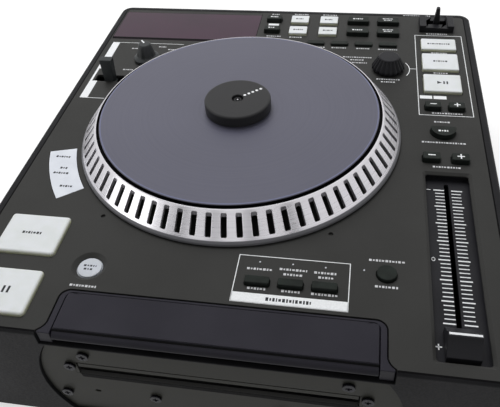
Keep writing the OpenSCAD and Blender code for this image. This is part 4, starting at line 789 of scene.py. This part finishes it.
def printLabels():
    # Middle and width of each row of strokes
    pale = (
        (-9.4, 143.9, 6.0), (-6.8, 110.6, 11.0), (10.3, 144.8, 10.5), (32.1, 144.8, 10.4), (9.6, 110.0, 10.0),
        (97.0, 147.2, 20.0), (110.0, 120.6, 14.5), (26.9, 97.0, 9.0), (41.4, 97.0, 10.2), (58.8, 97.0, 10.0),
        (75.9, 96.8, 14.0), (54.8, 85.2, 19.5), (54.8, 81.8, 9.0), (55.2, 78.2, 13.5), (76.3, 59.0, 15.8),
        (76.0, 56.0, 9.4), (110.6, 94.4, 11.0), (110.0, 69.0, 9.0), (111.4, 23.9, 18.0), (108.0, 15.0, 9.5),
        (108.1, -4.9, 25.5), (108.3, -26.6, 15.7), (-67.1, -130.3, 13.2), (15.8, -110.4, 12.4),
        (31.9, -109.2, 13.2), (31.9, -112.2, 9.0), (47.5, -109.4, 11.2), (47.5, -112.2, 7.0),
        (15.8, -122.2, 8.6), (31.9, -122.2, 8.6), (47.8, -122.2, 12.6), (76.2, -98.6, 17.8),
        (76.1, -114.4, 11.4), (-106.8, 86.5, 4.2), (-86.5, 90.0, 5.6), (-77.8, 86.6, 7.4),
        (-103.1, 58.0, 7.5), (-99.2, 46.9, 4.0))
    # Strokes on the pale window
    dark = ((-113.4, -38.2, 8.6), (-108.9, -48.0, 5.0), (-109.2, -52.4, 9.4), (-101.6, -63.0, 8.2))
    bm = bmesh.new()
    for x, y, w in pale:
        dashes(bm, x, y, w, panelTop)
    newPiece("labelPrint", bm, "greyInk", "chassis")
    bm = bmesh.new()
    for x, y in ((15.3, -105.9), (31.4, -105.7), (47.1, -105.9), (65.2, -105.5)):
        rod(bm, x, y, panelTop - 0.05, panelTop + 0.25, 0.5, 16, 0.3)
    newPiece("signalLamps", bm, "frostedWindow", "chassis")
    bm = bmesh.new()
    dashes(bm, 31.7, -127.7, 21.4, panelTop + inkThick, 2.0)
    for x, y, w in dark:
        dashes(bm, x, y, w, panelTop, 1.5)
    newPiece("darkPrint", bm, "blackInk", "chassis")


def markSeams():
    # Dark seam where the panel meets the case, and the borders of the display window; the black border along
    # the window's near edge is painted shade
    seam = {"x": 130.3, "back": 146.3, "front": -157.5, "insert": 80.6, "corner": 3.5, "line": 0.8}
    x, back, front, turn, line = (seam[k] for k in ("x", "back", "front", "corner", "line"))
    bm = bmesh.new()
    bar(bm, 0, back, 2 * (x - turn), line, panelTop)
    for side, start in ((-1, 90), (1, 0)):
        bar(bm, side * x, (front + back - turn) / 2, line, back - turn - front, panelTop)
        bar(bm, side * (x + seam["insert"]) / 2, front, x - seam["insert"] + line, line, panelTop + overprint)
        arcLine(bm, side * (x - turn), back - turn, turn, line, start, start + 90, panelTop, 6)
    newPiece("panelSeam", bm, "shadowBlack", "chassis")
    window = {"x": -74.5, "wide": 108.6}
    for name, y, h, finish, slot in (("windowBand", 143.2, 3.4, "powderCoat", "panel"),
                                     ("windowEdge", 101.7, 2.4, "shadowBlack", "black_plastic")):
        bm = bmesh.new()
        bar(bm, window["x"], y, window["wide"], h, panelTop)
        newPiece(name, bm, finish, "chassis")


def printScale():
    # Two rows of ticks beside the pitch fader, with zero, plus and minus signs
    scale = {"first": -40.3, "step": 2.5, "count": 41, "left": (100.9, 106.5), "right": (110.2, 116.0),
             "short": 0.86, "wide": 0.72, "narrow": 0.56, "z": 77.0}
    bm = bmesh.new()
    for i in range(scale["count"]):
        y, isFifth = scale["first"] - i * scale["step"], i % 5 == 0
        for side in ("left", "right"):
            near, far = scale[side]
            long = (far - near) * (1.0 if isFifth else scale["short"])
            x = far - long / 2 if side == "left" else near + long / 2
            bar(bm, x, y, long, scale["wide"] if isFifth else scale["narrow"], scale["z"])
    newPiece("faderScale", bm, "whiteInk", "chassis")
    signs = {"x": 98.3, "minus": -40.2, "zero": -90.3, "plus": -140.4}
    bm = bmesh.new()
    bar(bm, signs["x"], signs["minus"], 2.2, 0.45, scale["z"])
    bar(bm, signs["x"], signs["plus"], 3.0, 0.6, scale["z"])
    bar(bm, signs["x"], signs["plus"], 0.6, 3.0, scale["z"])
    count = len(bm.verts)
    arcLine(bm, signs["x"] + 0.2, signs["zero"], 0.78, 0.36, 0, 360, scale["z"], 20)
    bm.verts.ensure_lookup_table()
    bmesh.ops.scale(bm, verts=bm.verts[count:], vec=(1, 1.35, 1),
                    space=Matrix.Translation((0, -signs["zero"] * mm, 0)))
    newPiece("faderSigns", bm, "whiteInk", "chassis")
    print("prints: panel, labels, lamps and fader scale")


def printKeys():
    # Kind of mark, its size in mm and its ink
    marks = {
        "play_key": ("play", 1.25, "blackInk"), "track_play_key": ("play", 1.0, "blackInk"),
        "cue_key": ("row", 11.0, "blackInk"), "track_cue_key": ("row", 9.2, "blackInk"),
        "track_mode_key": ("row", 15.0, "blackInk"), "eject_key": ("pair", 6.6, "blackInk"),
        "bend_down_key": ("minus", 4.0, "whiteInk"), "bend_up_key": ("plus", 4.0, "whiteInk"),
        "track_bend_down_key": ("minus", 3.8, "whiteInk"), "track_bend_up_key": ("plus", 3.8, "whiteInk"),
        "tap_key": ("row", 6.2, "whiteInk"), "flip_upper_key": ("row", 5.6, "whiteInk"),
        "flip_lower_key": ("row", 5.0, "whiteInk"), "hop_upper_key": ("row", 8.0, "whiteInk"),
        "hop_lower_key": ("row", 8.0, "whiteInk"), "preset_upper_key": ("pair", 8.0, "whiteInk"),
        "preset_lower_key": ("pair", 8.0, "whiteInk"), "loop_in_one_key": ("row", 6.4, "blackInk"),
        "loop_in_two_key": ("row", 6.4, "blackInk"), "loop_out_one_key": ("row", 7.0, "blackInk"),
        "loop_out_two_key": ("row", 7.0, "blackInk")}
    for node, (kind, size, ink) in marks.items():
        x, y, top = topOf(node)
        z = top - inkThick / 2
        bm = bmesh.new()
        if kind == "play":
            wedge(bm, x - 2.4 * size, y, 1.9 * size, z, -math.pi / 2)
            for side in (0.9, 2.9):
                bar(bm, x + side * size, y, 0.95 * size, 3.2 * size, z)
        elif kind == "row":
            dashes(bm, x, y, size, z, 1.6 if ink == "blackInk" else 1.4)
        elif kind == "pair":
            dashes(bm, x, y + 1.1, size, z, 1.1)
            dashes(bm, x, y - 1.1, size * 0.8, z, 1.1)
        else:
            bar(bm, x, y, size, 0.75, z)
            if kind == "plus":
                bar(bm, x, y, 0.75, size, z + overprint)
        newPiece(nameOf(node) + "Mark", bm, ink, node)
    print("key marks:", len(marks))


def markControls():
    sunk = 0.03
    x, y, top = topOf("pitch_fader")
    bm = bmesh.new()
    bar(bm, x, y, 13.6, 1.1, top - sunk)
    newPiece("faderLine", bm, "whiteInk", "pitch_fader")
    x, y, top = topOf("volume_knob")
    bm = bmesh.new()
    bar(bm, x - 1.8, y + 2.7, 1.1, 4.4, top - sunk, turn=math.radians(40))
    newPiece("volumePointer", bm, "whiteInk", "volume_knob")
    print("controls: pointers")


def dressInside():
    finishes = {
        "bottom_plate": "paintedSheet", "control_board": "solderMask", "drive_base": "zincedSteel",
        "drive_cover": "zincedSteel", "platter_motor": "zincedSteel", "slip_mat": "pressedFelt",
        "encoder_sleeve": "zincedSteel", "feed_roller": "mattRubber", "disc_turntable": "zincedSteel"}
    for node, finish in finishes.items():
        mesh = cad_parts[node].data
        mesh.materials.clear()
        mesh.materials.append(materials[finish])
    print("inside:", len(finishes), "nodes finished")


def seenRays(tree):
    # 1 for the rays of the camera, mirrors and glass, and 0 for those that light the object
    rays = addNode(tree, "ShaderNodeLightPath").outputs
    seen = addNode(tree, "ShaderNodeMath", {"operation": "MAXIMUM"}, {
        0: rays["Is Camera Ray"], 1: rays["Is Glossy Ray"]}).outputs[0]
    return addNode(tree, "ShaderNodeMath", {"operation": "MAXIMUM"}, {
        0: seen, 1: rays["Is Transmission Ray"]}).outputs[0]


def paperFloor(studio):
    # A pale sheet: white as the camera and mirrors see it, and lit plainly where it keeps a shadow
    material = bpy.data.materials.new("paperFloor")
    material.use_nodes = True
    tree = material.node_tree
    tree.nodes.clear()
    strength = addNode(tree, "ShaderNodeMath", {"operation": "MULTIPLY"}, {
        0: seenRays(tree), 1: studio["glow"]}).outputs[0]
    glow = addNode(tree, "ShaderNodeEmission", inputs={"Color": linear("#ffffff"), "Strength": strength})
    cloth = addNode(tree, "ShaderNodeBsdfDiffuse", inputs={"Color": linear(studio["floor"])})
    both = addNode(tree, "ShaderNodeAddShader", inputs={0: glow.outputs[0], 1: cloth.outputs[0]})
    addNode(tree, "ShaderNodeOutputMaterial", inputs={"Surface": both.outputs[0]})
    bm = bmesh.new()
    bmesh.ops.create_grid(bm, x_segments=4, y_segments=4, size=studio["reach"],
                          matrix=Matrix.Translation((0, 0, -0.2 * mm)))
    sheet = placeObject("paperFloor", bm)
    sheet.data.materials.append(material)


def darkFlag(azimuth, wide):
    # A narrow black card that only polished metal mirrors
    away, tall = 1.2, 1.2
    name, turn = "flag" + str(-azimuth), math.radians(azimuth)
    material = bpy.data.materials.new(name)
    material.use_nodes = True
    material.node_tree.nodes["Principled BSDF"].inputs["Base Color"].default_value = linear("#101010")
    place = Matrix.Translation((away * math.cos(turn), away * math.sin(turn), tall / 2))
    bm = bmesh.new()
    bmesh.ops.create_cube(bm, size=1.0, matrix=place @ Matrix.Rotation(turn, 4, "Z")
                          @ Matrix.Diagonal((0.002, wide, tall, 1)))
    card = placeObject(name, bm)
    card.data.materials.append(material)
    card.visible_camera = card.visible_diffuse = card.visible_shadow = card.visible_transmission = False


def buildStudio():
    studio = {"sky": 0.22, "floor": "#adadad", "glow": 0.65, "reach": 3.0,
              "flags": ((-50, 0.12), (-76, 0.13), (-99, 0.09), (-122, 0.12))}
    world = bpy.data.worlds.new("studioSky")
    scene.world = world
    world.use_nodes = True
    tree = world.node_tree
    strength = addNode(tree, "ShaderNodeMapRange", inputs={
        "Value": seenRays(tree), "To Min": studio["sky"], "To Max": 1.0})
    sky = tree.nodes["Background"]
    sky.inputs["Color"].default_value = linear("#ffffff")
    tree.links.new(strength.outputs["Result"], sky.inputs["Strength"])
    paperFloor(studio)
    # Place, size and power in metres and watts; frontCard only shines, and the others only light
    lamps = (("backSoftbox", (-0.35, 0.75, 1.5), 1.2, 28.0), ("sideSoftbox", (1.2, -0.5, 1.3), 1.0, 1.8),
             ("frontCard", (-1.09, -0.51, 0.3), 0.7, 2.8))
    for name, place, size, power in lamps:
        lamp = bpy.data.lights.new(name, "AREA")
        lamp.shape, lamp.size, lamp.energy = "SQUARE", size, power
        holder = bpy.data.objects.new(name, lamp)
        scene.collection.objects.link(holder)
        holder.location = place
        holder.rotation_euler = (-Vector(place)).to_track_quat("-Z", "Y").to_euler()
        holder.visible_glossy = name == "frontCard"
        holder.visible_diffuse = name != "frontCard"
    for azimuth, wide in studio["flags"]:
        darkFlag(azimuth, wide)
    print("studio: floor, sky and", len(lamps), "lamps")


def addCamera():
    view = {"place": (54.1, -296.8, 311.1), "right": (0.9856, 0.1596, -0.0555),
            "up": (-0.0722, 0.695, 0.7154), "lens": 44.3, "sensor": 36}
    right, up = Vector(view["right"]).normalized(), Vector(view["up"])
    back = right.cross(up).normalized()
    up = back.cross(right)
    data = bpy.data.cameras.new("camera")
    data.lens, data.sensor_width = view["lens"], view["sensor"]
    data.clip_start, data.clip_end = 0.01, 50
    camera = bpy.data.objects.new("camera", data)
    scene.collection.objects.link(camera)
    camera.matrix_world = Matrix((right, up, back)).transposed().to_4x4()
    camera.location = Vector(view["place"]) * mm
    scene.camera = camera


addCamera()
scene.view_settings.view_transform = "Standard"
makeMaterials()
buildCase()
buildPlatter()
buildRecord()
buildControls()
printFrames()
printLabels()
markSeams()
printScale()
printKeys()
markControls()
dressInside()
buildStudio()
